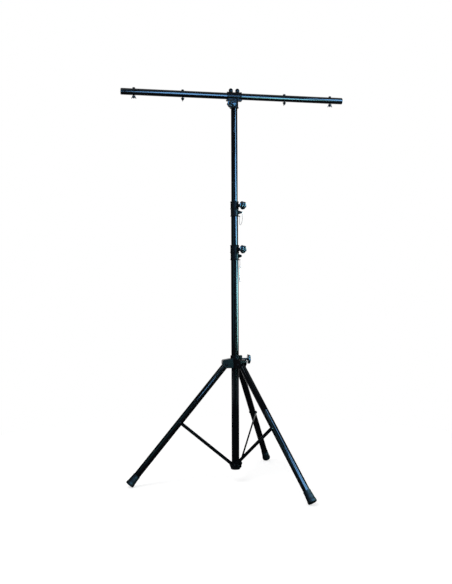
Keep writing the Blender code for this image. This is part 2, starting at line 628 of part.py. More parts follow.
def build_brace(side, azimuth):
    """A flat strip beside the leg, modelled straight up its own Z from its lower pivot."""
    pivot = (BRACE_PIVOT_R * math.cos(azimuth), BRACE_PIVOT_R * math.sin(azimuth), BRACE_PIVOT_Z)
    upright = frame(side + "_brace_azimuth", pivot, (0, 0, azimuth))
    line = frame(side + "_brace_pivot", (0, 0, 0), (0, BRACE_LEAN, 0), upright)
    half = BRACE_WIDTH / 2
    outline = (arc((0, BRACE_LENGTH), half, 0, 180, BRACE_END_STEPS)
               + arc((0, 0), half, 180, 360, BRACE_END_STEPS))
    inner = -BRACE_OFFSET - BRACE_THICK / 2
    outer = -BRACE_OFFSET + BRACE_THICK / 2
    strip = place(side + "_brace", plate(outline, inner, outer), PAINT, line)
    hole = BRACE_BOLT_R + TURN_GAP
    cut(strip, across(side + "_brace_low_hole", hole, 0, 0, inner - CLEAR, outer + CLEAR, line),
        across(side + "_brace_high_hole", hole, 0, BRACE_LENGTH, inner - CLEAR, outer + CLEAR, line))
    rivet = bolt(BRACE_BOLT_R, -outer, -inner + GAP, BRACE_HEAD_R, BRACE_HEAD)
    place(side + "_brace_rivet", rivet, DARK_STEEL, line, (0, 0, BRACE_LENGTH), (QUARTER, 0, 0))
    seat = -inner + 2 * GAP + LUG_WALL
    pivot_bolt = bolt(BRACE_BOLT_R, -outer - GAP - LUG_BLIND, seat, BRACE_HEAD_R, BRACE_HEAD)
    place(side + "_brace_pivot_bolt", pivot_bolt, DARK_STEEL, upright, rotation=(QUARTER, 0, 0))


def build_lower_hub():
    """The casting at the mast's foot: a cup for the outer tube, with a slotted lug for each brace."""
    top, edge = LOWER_HUB_HEIGHT, LOWER_HUB_EDGE
    cup = OUTER_R + GAP
    profile = [(0, 0), (LOWER_HUB_R - edge, 0), (LOWER_HUB_R, edge), (LOWER_HUB_R, top - edge / 2),
               (LOWER_HUB_R - edge / 2, top), (cup, top), (cup, LOWER_HUB_FLOOR), (0, LOWER_HUB_FLOOR)]
    hub = place("lower_hub", turned(profile, MAST_SIDES), CASTING, None, (0, 0, LOWER_HUB_Z))
    up = LOWER_HUB_DROP
    slot_in = -BRACE_OFFSET + BRACE_THICK / 2 + GAP
    slot_out = -BRACE_OFFSET - BRACE_THICK / 2 - GAP
    lug_end = BRACE_PIVOT_R + LUG_ROUND
    lug_outline = ([(BRACE_PIVOT_R - LUG_FOOT_IN, LUG_FOOT), (BRACE_PIVOT_R + LUG_FOOT_OUT, LUG_FOOT),
                    (lug_end, up - LUG_ROUND / 3)]
                   + arc((BRACE_PIVOT_R, up), LUG_ROUND, 0, 150, 6))
    slot_floor = up - LUG_ROUND - 2 * GAP
    slot_outline = [(-CLEAR, up + CLEAR), (-CLEAR, slot_floor), (lug_end + CLEAR, slot_floor),
                    (lug_end + CLEAR, up + CLEAR)]
    lines = {side: frame("lug_line_" + side, (0, 0, LOWER_HUB_Z), (0, 0, azimuth))
             for side, azimuth in LEG_AZIMUTHS.items()}
    for side, line in lines.items():
        lug = plate(lug_outline, slot_out - LUG_WALL, slot_in + LUG_WALL)
        fuse(hub, place("lug_" + side, lug, None, line))
    for side, line in lines.items():
        cut(hub, place("lug_slot_" + side, plate(slot_outline, slot_out, slot_in), None, line),
            across("lug_hole_" + side, BRACE_BOLT_R + TURN_GAP, BRACE_PIVOT_R, up, slot_out - CLEAR,
                   slot_in + LUG_BLIND + GAP, line))
    cup_rod = rod(cup, LOWER_HUB_FLOOR, top + CLEAR, MAST_SIDES)
    cut(hub, place("cup_cutter", cup_rod, None, None, (0, 0, LOWER_HUB_Z)))


def build_bracket(bar):
    """The casting that joins the bar to the mast: a sleeve on a saddle over a blind socket."""
    half = BRACKET_LENGTH / 2
    outer = BAR_R + GAP + BRACKET_WALL
    rim = outer + BRACKET_RIM
    bore = BAR_R + GAP
    width = BRACKET_RIM_WIDTH
    profile = [
        (bore, -half), (rim, -half), (rim, -half + width), (outer, -half + 1.5 * width),
        (outer, half - 1.5 * width), (rim, half - width), (rim, half), (bore, half),
    ]
    sleeve = turned(profile, MAST_SIDES, closed=True)
    body = place("bar_bracket", sleeve, CASTING, bar, rotation=(0, QUARTER, 0))
    long, thick = SADDLE_LENGTH / 2, SADDLE_BOTTOM - SADDLE_TOP
    saddle_outline = [
        (-long, -SADDLE_TOP), (-long, -SADDLE_TOP - thick / 2), (-long + thick / 2, -SADDLE_BOTTOM),
        (long - thick / 2, -SADDLE_BOTTOM), (long, -SADDLE_TOP - thick / 2), (long, -SADDLE_TOP),
        (long - 1.2 * thick, -SADDLE_TOP + 0.9 * thick), (-long + 1.2 * thick, -SADDLE_TOP + 0.9 * thick),
    ]
    saddle = place("saddle", plate(saddle_outline, -SADDLE_WIDTH / 2, SADDLE_WIDTH / 2), None, bar)
    socket_r = TOP_R + GAP + SOCKET_WALL
    edge = socket_r + SOCKET_RIM
    socket_profile = [
        (0, -SOCKET_DEPTH), (edge - EDGE, -SOCKET_DEPTH), (edge, -SOCKET_DEPTH + EDGE),
        (edge, -SOCKET_DEPTH + SOCKET_RIM_HEIGHT - EDGE),
        (socket_r, -SOCKET_DEPTH + SOCKET_RIM_HEIGHT + EDGE), (socket_r, -SADDLE_TOP), (0, -SADDLE_TOP),
    ]
    socket = place("socket", turned(socket_profile, MAST_SIDES), None, bar)
    bosses, screw_holes = [], []
    for side in (-1, 1):
        centre = (side * CAP_SCREW_SPACING / 2, 0, 0)
        boss = rod(CAP_SCREW_BOSS_R, -SADDLE_TOP, CAP_SCREW_BOSS_TOP, MAST_SIDES)
        hole = rod(CAP_SCREW_R + TURN_GAP, -SADDLE_TOP - CAP_SCREW_BITE - GAP, CAP_SCREW_BOSS_TOP + CLEAR)
        bosses.append(place("screw_boss_%d" % side, boss, None, bar, centre))
        screw_holes.append(place("cap_screw_hole_%d" % side, hole, None, bar, centre))
    knob_line = frame("bracket_knob_axis", (0, 0, -BRACKET_KNOB_BELOW), (0, 0, BRACKET_KNOB_AZIMUTH), bar)
    root = TOP_R + SOCKET_WALL / 2
    knob_boss = outward("bracket_knob_boss", KNOB_BOSS_R, root, BRACKET_BOSS_REACH, knob_line)
    fuse(body, saddle, socket, *bosses, knob_boss)

    bar_rod = rod(bore, -BRACKET_LENGTH, BRACKET_LENGTH, MAST_SIDES)
    tube_rod = rod(TOP_R + GAP, -SOCKET_DEPTH - CLEAR, -SOCKET_ROOF, MAST_SIDES)
    cut(body, place("bar_bore", bar_rod, None, bar, rotation=(0, QUARTER, 0)),
        place("tube_bore", tube_rod, None, bar), *screw_holes)
    cut(body, screw_hole("bracket_screw_hole", 2 * BRACKET_BOSS_REACH, knob_line))

    seat = CAP_SCREW_BOSS_TOP + GAP
    head_r, head = CAP_SCREW_HEAD_R, CAP_SCREW_HEAD
    dome = [arc((0, seat + head - head_r), head_r, angle, angle, 1)[0] for angle in DOME_ANGLES]
    end = -SADDLE_TOP - CAP_SCREW_BITE
    cap_profile = [(0, end), (CAP_SCREW_R, end), (CAP_SCREW_R, seat), (head_r, seat), *dome,
                   (0, seat + head)]
    for side, sign in (("left", -1), ("right", 1)):
        centre = (sign * CAP_SCREW_SPACING / 2, 0, 0)
        place("cap_screw_" + side, turned(cap_profile, ROUND_SIDES), CASTING, bar, centre)
    clamp_screw("bracket_screw", knob_line, TOP_R + GAP, BRACKET_BOSS_REACH)
    star_knob("bracket_knob", COLLAR_KNOB, knob_line, BRACKET_BOSS_REACH, BRACKET_KNOB_BACK)


def build_bar():
    bar = frame("bar_swivel", (0, 0, BAR_Z))
    half = BAR_LENGTH / 2 - CAP_HEAD - GAP
    wall = pipe(BAR_R, BAR_R - BAR_WALL, -half, half)
    tube = place("cross_bar", wall, PAINT, bar, rotation=(0, QUARTER, 0))
    holes = bmesh.new()
    for x in HANGER_PLACES.values():
        rod(HANGER_R + TURN_GAP, -BAR_DIA, BAR_DIA, bm=holes, centre=(x, 0))
    for side in (-1, 1):
        centre = (side * CAP_SCREW_SPACING / 2, 0)
        rod(CAP_SCREW_R + TURN_GAP, -BAR_DIA, BAR_DIA, bm=holes, centre=centre)
    cut(tube, place("bar_holes", holes, None, bar))
    plug_r = BAR_R - BAR_WALL - GAP
    cap_profile = [
        (0, -CAP_PLUG), (plug_r, -CAP_PLUG), (plug_r, GAP), (BAR_R, GAP), (BAR_R, CAP_HEAD * 0.45),
        (BAR_R - 1.2 * EDGE, CAP_HEAD * 0.85), (BAR_R - CAP_HEAD, CAP_HEAD), (0, CAP_HEAD),
    ]
    end = BAR_LENGTH / 2 - CAP_HEAD
    for side, turn in (("left", -QUARTER), ("right", QUARTER)):
        place("bar_cap_" + side, turned(cap_profile, MAST_SIDES), PLASTIC, bar,
              (math.copysign(end, turn), 0, 0), (0, turn, 0))
    build_bracket(bar)
    build_hangers()


def build_hangers():
    """Bolts down through the bar, each with a washer and a wing nut below a gap for a fixture's yoke."""
    washer_top = -BAR_R - YOKE_GAP
    nut_top = washer_top - WASHER_THICK - GAP
    tip = nut_top - WING_NUT_HEIGHT - BOLT_END
    seat = BAR_R + GAP
    head, corner = HANGER_HEAD_HEIGHT, HANGER_HEAD_FLATS / math.sqrt(3)
    head_profile = [(0, seat), (corner, seat), (corner, seat + 0.75 * head), (0.8 * corner, seat + head),
                    (0, seat + head)]
    root, out = HANGER_R + EDGE / 2, WING_SPAN / 2
    wing_outline = [
        (root, -1.5 * EDGE), (WING_NUT_TOP_R, -1.2 * EDGE), (out - 1.5 * EDGE, -WING_BEND),
        (out, -WING_TIP_TOP), (out - EDGE, -WING_DROP), (out - 3.5 * EDGE, -WING_DROP + 0.6 * EDGE),
        (WING_NUT_BASE_R + 1.2 * EDGE, -WING_BEND), (root, -WING_FOOT),
    ]
    nut_profile = [
        (HANGER_R + TURN_GAP, 0), (WING_NUT_TOP_R, 0), (WING_NUT_TOP_R, -1.5 * EDGE),
        (WING_NUT_BASE_R, -WING_NUT_HEIGHT), (HANGER_R + TURN_GAP, -WING_NUT_HEIGHT),
    ]
    for name, x in HANGER_PLACES.items():
        line = frame(name + "_hanger", (x, 0, BAR_Z))
        hanger = place(name + "_bolt", rod(HANGER_R, tip, seat + head / 2), DARK_STEEL, line)
        fuse(hanger, place(name + "_bolt_head", turned(head_profile, 6), None, line))
        washer = pipe(WASHER_R, HANGER_R + TURN_GAP, washer_top - WASHER_THICK, washer_top, ROUND_SIDES)
        place(name + "_washer", washer, DARK_STEEL, line)
        turn = 0 if name.startswith("outer") else QUARTER
        nut_line = frame(name + "_nut_axis", (x, 0, BAR_Z + nut_top), (0, 0, turn))
        nut = place(name + "_wing_nut", turned(nut_profile, SMALL_SIDES, closed=True), DARK_STEEL, nut_line)
        for number in (0, 1):
            wing = plate(wing_outline, -WING_THICK / 2, WING_THICK / 2)
            turn = (0, 0, number * math.pi)
            fuse(nut, place("%s_wing_%d" % (name, number), wing, None, nut_line, rotation=turn))


clear_scene()
build_mast()
build_hub()
for leg_side, leg_azimuth in LEG_AZIMUTHS.items():
    build_leg(leg_side, leg_azimuth)
    build_brace(leg_side, leg_azimuth)
build_lower_hub()
build_bar()
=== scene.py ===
"""Looks for the lighting bar stand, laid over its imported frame.

A piece is modelled in its own local frame, upright or along the axis that it turns on, and its mesh
is then placed in the row frame. Lengths are in metres.
"""
import json
from math import asin, atan2, cos, pi, radians, sin, sqrt, tau

import bmesh
import bpy
from mathutils import Matrix, Vector


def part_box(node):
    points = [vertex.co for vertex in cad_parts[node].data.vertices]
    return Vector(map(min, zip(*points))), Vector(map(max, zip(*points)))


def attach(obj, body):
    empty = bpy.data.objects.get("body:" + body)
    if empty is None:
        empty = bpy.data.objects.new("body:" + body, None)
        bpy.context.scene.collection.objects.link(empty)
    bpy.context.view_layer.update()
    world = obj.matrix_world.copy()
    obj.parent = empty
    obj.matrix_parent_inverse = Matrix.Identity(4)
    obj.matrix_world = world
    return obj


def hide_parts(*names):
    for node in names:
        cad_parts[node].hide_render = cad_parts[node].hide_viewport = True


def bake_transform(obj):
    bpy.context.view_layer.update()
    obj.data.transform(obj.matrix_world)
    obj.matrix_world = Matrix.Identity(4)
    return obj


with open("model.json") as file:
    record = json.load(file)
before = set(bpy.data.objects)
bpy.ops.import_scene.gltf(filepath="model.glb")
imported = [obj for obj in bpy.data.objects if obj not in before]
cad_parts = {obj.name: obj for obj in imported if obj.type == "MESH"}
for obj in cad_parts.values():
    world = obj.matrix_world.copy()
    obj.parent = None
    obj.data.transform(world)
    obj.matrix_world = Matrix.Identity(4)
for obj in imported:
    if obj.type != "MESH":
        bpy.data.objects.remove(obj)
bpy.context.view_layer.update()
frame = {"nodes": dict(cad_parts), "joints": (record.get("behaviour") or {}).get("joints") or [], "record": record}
JOINTS = {joint["name"]: joint for joint in frame["joints"]}

SIDES = ("left", "front", "rear")
HANGERS = ("outer_left", "inner_left", "inner_right", "outer_right")
QUARTER = pi / 2
GAP = 0.0003              # between neighbours, as in the frame


def span(node, axis):
    """Lowest and highest coordinate of a node of the frame along one axis."""
    low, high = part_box(node)
    return low[axis], high[axis]


def half_width(node, axis):
    low, high = span(node, axis)
    return (high - low) / 2


def middle(node, axis):
    return sum(span(node, axis)) / 2


# Sizes read from the frame
OUTER_R = half_width("outer_tube", 0)
MID_R = half_width("middle_tube", 0)
TOP_R = half_width("top_tube", 0)
LEG_R = half_width("left_leg_tube", 1)
BAR_R = half_width("cross_bar", 2)
BAR_Z = middle("cross_bar", 2)
LEG_PIVOT_Z = JOINTS["left_leg_fold"]["pos_m"][2]
LEG_PIVOT_R = -JOINTS["left_leg_fold"]["pos_m"][0]
BRACE_PIVOT_Z = JOINTS["left_brace_fold"]["pos_m"][2]
BRACE_PIVOT_R = -JOINTS["left_brace_fold"]["pos_m"][0]
AZIMUTHS = {side: atan2(JOINTS[side + "_leg_fold"]["pos_m"][1], JOINTS[side + "_leg_fold"]["pos_m"][0])
            for side in SIDES}

# Sizes of the real pieces
TUBE_WALL = 0.0012
HEAVY_WALL = 0.0015
LEG_LENGTH = 0.810        # pivot to the sole of the foot
LEG_SPREAD = radians(39.7)
LEG_ABOVE_PIVOT = 0.008
FOOT_HEIGHT = 0.062
FOOT_FLOOR = 0.006
BRACE_LENGTH = 0.3641
BRACE_WIDTH = 0.018
BRACE_THICK = 0.003
BRACE_ALONG_LEG = 0.395
PIN_HOLE_R = 0.0035
PIN_HOLE_PITCH = 0.150
PIN_HOLE_COUNT = 4
SCREW_R = 0.004
THREAD_PITCH = 0.00125
RIDGE_SHARE = 0.42        # of the pitch, the radius of a thread's ridge
ROUND_SIDES = 72
SMALL_SIDES = 36
BOLT_SIDES = 40
NUT_SIDES = 48
HOLE_SIDES = 28
KNOB_SIDES = 160
FLOOR_SIDES = 96
THREAD_SIDES = 24
THREAD_STEPS = 14         # for each turn
RIDGE_SIDES = 6
STRAND_SIDES = 7
ROPE_POINTS = 160
ROUTE_STEPS = 20          # between two points of a route

# How far cutting tools go
OVERRUN = 0.01            # past the surface that they start from
HOLE_CUT = 0.06           # mast's axis to the end of a tool for a small hole
BORE_CUT = 0.1            # the same for a bore
DRILL_LENGTH = 0.07

# Fits and details
COLLAR_GRIP = 0.042       # collar's underside to the top of the tube that carries it
COLLAR_WALL = 0.0020
COLLAR_RIM = 0.0022
COLLAR_STEP = 0.0022
COLLAR_LIP = 0.003
COLLAR_KNOB_UP = 0.057
COLLAR_PIN_UP = 0.0225
COLLAR_BOSS_REACH = 0.034
BUSH_SLIT = 0.0016
KNOB_BOSS_R = 0.0095
LUG_REACH = 0.0305        # mast's axis to the end of the lug that holds a lanyard
LUG_THICK = 0.004
LUG_HALF = 0.003
CONE_REACH = 0.0385
CONE_BASE_R = 0.0105
CONE_TIP_R = 0.0048
KNOB_AZIMUTH = radians(315)
PIN_AZIMUTH = radians(345)
PIN_R = 0.0032
PIN_HEAD_R = 0.0046
PIN_HEAD_LENGTH = 0.0052
RING_R = 0.0046
RING_WIRE_R = 0.0008
LANYARD_DIA = 0.002
LANYARD_STRANDS = 6
LANYARD_LAY = 90.0        # turns per metre
LANYARD_SPACING = 2.8 * LANYARD_DIA
LANYARD_EXIT_R = 0.0275   # mast's axis to where a lanyard leaves its collar
LOWER_PIN_DROP = 0.0425
COLLAR_KNOB = (0.0240, 0.0185, 0.0075)   # radius, thickness and radius of the neck
HUB_KNOB = (0.0275, 0.0150, 0.0065)
COLLAR_KNOB_BACK = 0.0475
HUB_KNOB_BACK = 0.0685
BRACKET_KNOB_BACK = 0.0425
KNOB_LOBES = 5
FOOT_SOLE_R = 0.0218
FOOT_FLARE_R = 0.0235
FOOT_TOP_R = 0.0196
BRACE_BOLT_R = 0.003
BRACE_HEAD_R = 0.0065
BRACE_HEAD = 0.0042
BRACE_OFFSET = LEG_R + GAP + BRACE_THICK / 2
BRACE_LEAN = asin((LEG_PIVOT_R + BRACE_ALONG_LEG * sin(LEG_SPREAD) - BRACE_PIVOT_R) / BRACE_LENGTH)
PIVOT_BOLT_R = 0.004
PIVOT_HEAD_R = 0.0078
PIVOT_HEAD = 0.0042
HUB_WALL = 0.0047
HUB_R = OUTER_R + GAP + HUB_WALL
HUB_EAR_WALL = 0.0040
HUB_EAR_REACH = 0.0715
HUB_BLOCK_REACH = 0.038
HUB_BLOCK_WIDTH = 0.017
LOWER_HUB_R = 0.0265
LOWER_HUB_HEIGHT = 0.0235
LOWER_HUB_FLOOR = 0.004
LUG_WALL = 0.0045
LUG_ROUND = 0.009
LUG_BLIND = 0.0035
BRACKET_LENGTH = 0.079
BRACKET_WALL = 0.0037
BRACKET_RIM = 0.0020
BRACKET_RIM_WIDTH = 0.006
SADDLE_WIDTH = 0.028
SADDLE_TOP = 0.0205
SADDLE_BOTTOM = 0.0262
SOCKET_WALL = 0.0045
SOCKET_DEPTH = 0.0653
SOCKET_ROOF = 0.0240
SOCKET_RIM = 0.0025
SOCKET_RIM_HEIGHT = 0.005
CAP_HEAD = 0.004
CAP_SCREW_SPACING = 0.036
CAP_SCREW_X = {"left": -CAP_SCREW_SPACING / 2, "right": CAP_SCREW_SPACING / 2}
CAP_SCREW_R = 0.006
CAP_SCREW_BOSS_R = 0.0120
CAP_SCREW_BOSS_TOP = 0.0223
BRACKET_KNOB_BELOW = 0.0515
BRACKET_KNOB_AZIMUTH = radians(240)
BRACKET_BOSS_REACH = 0.0300
HANGER_R = 0.004
HANGER_THREAD_TOP = -0.004   # from the bar's centre
HANGER_HEAD_FLATS = 0.013
WING_NUT_HEIGHT = 0.008
WING_NUT_TOP_R = 0.0076
WING_NUT_BASE_R = 0.0062
WING_SPAN = 0.027
WING_THICK = 0.0026
WING_DROP = 0.0135

# Camera and studio
CAMERA_AT = (-0.699, -3.782, 0.984)
CAMERA_LENS = 43.853
CAMERA_SENSOR = 36.0
CAMERA_PAN = -0.170317
CAMERA_TILT = 0.011099
CAMERA_ROLL = -0.0037932
CAMERA_BEARING = atan2(CAMERA_AT[1], CAMERA_AT[0])   # from the mast to the camera
WHITE = (1.0, 1.0, 1.0, 1.0)
ROOM_LIGHT = 0.5
FLOOR_R = 2.2
FLOOR_Z = -0.0006
FLOOR_CARD_Z = -0.0003
FLOOR_GLOW = 0.66
FLOOR_LIT = (0.55, 0.55, 0.55, 1.0)      # its paint where the camera sees it
FLOOR_PLAIN = (0.85, 0.85, 0.85, 1.0)    # its paint for the light that it throws back
WALL_R = 4.6
WALL_TOP = 6.0
MAST_CARD_R = 0.25
MAST_CARD_STEP = (1.25, 1.50)   # heights that it narrows between
MAST_CARD_TOP = 1.98

# Radiance of the lamps
KEY = 7.0
MAST_STRIP = 90.0
LEFT_STRIP = 2.5
BAR_STRIP = 62.0
LEG_STRIP = 42.0


# ---- Node trees, written as expressions


class Value:
    """One socket's value. Operators on it add Math nodes to its tree."""

    def __init__(self, net, socket):
        self.net = net
        self.socket = socket

    def beside(self, name):
        """Another output of the same node."""
        return Value(self.net, self.socket.node.outputs[name])

    def _math(self, operation, a, b):
        return self.net.add("ShaderNodeMath", {"operation": operation}, {0: a, 1: b})

    def __add__(self, other):
        return self._math("ADD", self, other)

    def __radd__(self, other):
        return self._math("ADD", other, self)

    def __sub__(self, other):
        return self._math("SUBTRACT", self, other)

    def __rsub__(self, other):
        return self._math("SUBTRACT", other, self)

    def __mul__(self, other):
        return self._math("MULTIPLY", self, other)

    def __rmul__(self, other):
        return self._math("MULTIPLY", other, self)

    def __truediv__(self, other):
        return self._math("DIVIDE", self, other)

    def __rtruediv__(self, other):
        return self._math("DIVIDE", other, self)


class Net:
    """A node tree and the one way that nodes are added to it."""

    def __init__(self, tree):
        self.tree = tree

    def add(self, kind, settings=None, values=None, output=0):
        """A new node: its type, settings, the values or links of its sockets, and the output that is handed on."""
        node = self.tree.nodes.new(kind)
        for name, setting in (settings or {}).items():
            setattr(node, name, setting)
        for key, value in (values or {}).items():
            self.feed(node.inputs[key], value)
        return Value(self, node.outputs[output])

    def feed(self, socket, value):
        if isinstance(value, Value):
            self.tree.links.new(value.socket, socket)
        else:
            socket.default_value = value


# ---- Finishes


class Finish(Net):
    """A material on the principled shader, with the patterns that several finishes share."""

    def __init__(self, slot, frame_node=False, **fixed):
        self.frame_node = frame_node
        self.material = bpy.data.materials.new(slot + "_finish")
        self.material.use_nodes = True
        super().__init__(self.material.node_tree)
        self.shader = self.tree.nodes["Principled BSDF"]
        self.use(**fixed)

    def place(self, scale=(1, 1, 1)):
        """The piece's own coordinates, stretched by scale. A node of the frame has only the row's."""
        if self.frame_node:
            own = self.add("ShaderNodeTexCoord", output="Object")
        else:
            own = self.add("ShaderNodeAttribute", {"attribute_name": "own_place"}, output="Vector")
        return self.add("ShaderNodeVectorMath", {"operation": "MULTIPLY"}, {0: own, 1: scale})

    def noise(self, place, scale, detail=2.0, rough=0.5):
        return self.add("ShaderNodeTexNoise", None,
                        {"Vector": place, "Scale": scale, "Detail": detail, "Roughness": rough})

    def between(self, value, low, high):
        """0 below low, 1 above high, smooth between."""
        return self.add("ShaderNodeMapRange", {"interpolation_type": "SMOOTHSTEP"},
                        {"Value": value, "From Min": low, "From Max": high})

    def blend(self, factor, first, second):
        """A colour from first at 0 to second at 1."""
        return self.add("ShaderNodeMix", {"data_type": "RGBA"},
                        {"Factor": factor, 6: (*first, 1.0), 7: (*second, 1.0)}, output=2)

    def use(self, **values):
        """Feed the shader's own sockets."""
        for name, value in values.items():
            self.feed(self.shader.inputs[name.replace("_", " ")], value)

    def bump(self, height, distance, strength):
        normal = self.add("ShaderNodeBump", None, {"Strength": strength, "Distance": distance, "Height": height})
        self.use(Normal=normal)


def gloss_paint():
    """Gloss black powder coat: a fine orange peel, faint scuffs along the tube."""
    paint = Finish("gloss_paint", Specular_IOR_Level=0.13, Specular_Tint=(0.62, 0.86, 1.0, 1.0))
    cloud = paint.noise(paint.place(), 11.0, 3.0)
    peel = paint.noise(paint.place(), 420.0)
    scuff = paint.between(paint.noise(paint.place((1.0, 1.0, 0.03)), 900.0), 0.62, 0.78)
    worn = scuff * paint.between(paint.noise(paint.place(), 7.0), 0.48, 0.66)
    paint.use(
        Base_Color=paint.blend(cloud, (0.0022, 0.0026, 0.0034), (0.0040, 0.0046, 0.0056)),
        Roughness=0.09 + 0.03 * cloud + 0.05 * worn,
    )
    paint.bump(peel + 0.5 * scuff, 0.000003, 0.2)
    return paint.material


def casting_paint():
    """Satin black on a slightly grained casting."""
    paint = Finish("casting_paint", Specular_IOR_Level=0.03, Specular_Tint=(0.50, 0.78, 1.0, 1.0))
    cloud = paint.noise(paint.place(), 60.0, 3.0)
    grain = paint.noise(paint.place(), 1400.0, 3.0, 0.6)
    pit = paint.between(paint.noise(paint.place(), 500.0, 1.0), 0.66, 0.76)
    paint.use(
        Base_Color=paint.blend(cloud, (0.0030, 0.0034, 0.0042), (0.0062, 0.0068, 0.0080)),
        Roughness=0.19 + 0.07 * cloud + 0.08 * pit,
    )
    paint.bump(grain - 0.8 * pit, 0.00004, 0.4)
    return paint.material


def moulded(name, cloud, grain, low, high, roughness, bump, **fixed):
    """A moulding: a clouded colour from low to high, and a fine grain.

    cloud and grain are the noises' scale and detail, roughness is its least and its rise, bump is the grain's depth
    and strength.
    """
    moulding = Finish(name, **fixed)
    cloudy = moulding.noise(moulding.place(), *cloud)
    least, rise = roughness
    moulding.use(Base_Color=moulding.blend(cloudy, low, high), Roughness=least + rise * cloudy)
    moulding.bump(moulding.noise(moulding.place(), *grain), *bump)
    return moulding.material


def knob_plastic():
    """Satin black plastic."""
    return moulded("knob_plastic", (120.0,), (2600.0,), (0.0045, 0.0055, 0.0075), (0.0080, 0.0100, 0.0130),
                   (0.17, 0.06), (0.00002, 0.3), Specular_IOR_Level=0.32, Specular_Tint=(0.40, 0.74, 1.0, 1.0))


def bush_nylon():
    """Dull black nylon."""
    return moulded("bush_nylon", (200.0,), (200.0,), (0.008, 0.008, 0.009), (0.016, 0.016, 0.018),
                   (0.45, 0.15), (0.00005, 0.3), Specular_IOR_Level=0.3)


def foot_rubber():
    """Dull rubber with a faint bloom."""
    return moulded("foot_rubber", (45.0, 4.0, 0.6), (1500.0, 3.0), (0.0028, 0.0036, 0.0046), (0.0056, 0.0068, 0.0082),
                   (0.42, 0.14), (0.00012, 0.5), Specular_IOR_Level=0.08, Specular_Tint=(0.60, 0.85, 1.0, 1.0))


def dark_steel():
    """Black oxide on steel, with a turned grain round the piece's axis."""
    steel = Finish("dark_steel", Specular_IOR_Level=0.025, Specular_Tint=(0.60, 0.85, 1.0, 1.0))
    ring = steel.noise(steel.place((0.05, 0.05, 1.0)), 2400.0)
    cloud = steel.noise(steel.place(), 300.0, 3.0)
    steel.use(
        Base_Color=steel.blend(cloud, (0.004, 0.005, 0.007), (0.011, 0.012, 0.015)),
        Roughness=0.24 + 0.12 * cloud + 0.06 * ring,
    )
    steel.bump(ring, 0.00003, 0.3)
    return steel.material


def drawn_steel(name, metallic, low, high, frame_node=False):
    """Clouded zinc on steel, with drawing lines along the wire or pin."""
    zinc = Finish(name, frame_node, Metallic=metallic, Specular_IOR_Level=0.1)
    cloud = zinc.noise(zinc.place(), 420.0, 3.0)
    line = zinc.noise(zinc.place((1.0, 1.0, 0.04)), 3000.0)
    zinc.use(Base_Color=zinc.blend(cloud, low, high), Roughness=0.20 + 0.14 * cloud + 0.06 * line)
    zinc.bump(line, 0.00002, 0.3)
    return zinc.material


def bright_steel(frame_node=False):
    return drawn_steel("bright_steel", 1.0, (0.17, 0.175, 0.18), (0.27, 0.275, 0.28), frame_node)


def rope_steel():
    """Gone grey, as fine wire rope looks."""
    return drawn_steel("rope_steel", 0.3, (0.014, 0.015, 0.018), (0.040, 0.042, 0.048))


FINISHES = {make.__name__: make() for make in
            (gloss_paint, casting_paint, knob_plastic, bush_nylon, foot_rubber, dark_steel, bright_steel, rope_steel)}
SLOT_OF = {part["node"]: part["material_slot"] for part in frame["record"]["subparts"]}
BODY_OF = {node: body for body, nodes in frame["record"]["behaviour"]["bodies"].items() for node in nodes}


# ---- Shaping in a piece's own frame


def around(radius, turn, height=0.0):
    """The point at a turn and a radius about the Z axis."""
    return radius * cos(turn), radius * sin(turn), height


def arc(x, z, radius, first, last, step):
    """(x, z) points on an arc, with its turns in degrees."""
    return [(x + radius * cos(radians(a)), z + radius * sin(radians(a)))
            for a in range(first, last + 1, step)]


def upright(location=(0, 0, 0), azimuth=0.0, lean=0.0):
    """From a piece's own frame to the row frame: leaned about its Y, turned to an azimuth, then moved."""
    return Matrix.Translation(location) @ Matrix.Rotation(azimuth, 4, "Z") @ Matrix.Rotation(lean, 4, "Y")


def up(height):
    return Matrix.Translation((0, 0, height))


def along_x(offset=0.0):
    """Lays a piece that was turned about Z along X."""
    return Matrix.Rotation(QUARTER, 4, "Y") @ up(offset)


def along_y(way=1):
    """Lays a piece that was turned about Z along Y, one way or the other."""
    return Matrix.Rotation(way * QUARTER, 4, "X")


def eased(points, ease, steps=3, closed=False):
    """A line of points with its corners rounded off, each by ease, or less where its sides are short."""
    rounded = []
    for k, point in enumerate(points):
        corner = Vector(point)
        if not closed and k in (0, len(points) - 1):
            rounded.append(corner)
            continue
        before = Vector(points[k - 1]) - corner
        after = Vector(points[(k + 1) % len(points)]) - corner
        start = corner + before * min(0.45, ease / before.length)
        end = corner + after * min(0.45, ease / after.length)
        for step in range(steps + 1):
            t = step / steps
            rounded.append(start * (1 - t) ** 2 + corner * (2 * t * (1 - t)) + end * t ** 2)
    return [tuple(point) for point in rounded]


def lathe(profile, sides=ROUND_SIDES, closed=False, lobes=None):
    """Turn (radius, height) points about the Z axis. lobes(angle, height) scales the radius."""
    bm = bmesh.new()
    rings = []
    for radius, height in profile:
        if radius < 1e-6:
            rings.append([bm.verts.new((0, 0, height))])
            continue
        ring = []
        for k in range(sides):
            angle = tau * k / sides
            grown = radius * (lobes(angle, height) if lobes else 1)
            ring.append(bm.verts.new(around(grown, angle, height)))
        rings.append(ring)
    pairs = list(zip(rings, rings[1:])) + ([(rings[-1], rings[0])] if closed else [])
    for low, high in pairs:
        for k in range(sides):
            corners = [low[k % len(low)], low[(k + 1) % len(low)], high[(k + 1) % len(high)], high[k % len(high)]]
            bm.faces.new(list(dict.fromkeys(corners)))
    return loose(bm)


def rod(radius, low, high, sides=SMALL_SIDES):
    return lathe([(0, low), (radius, low), (radius, high), (0, high)], sides)


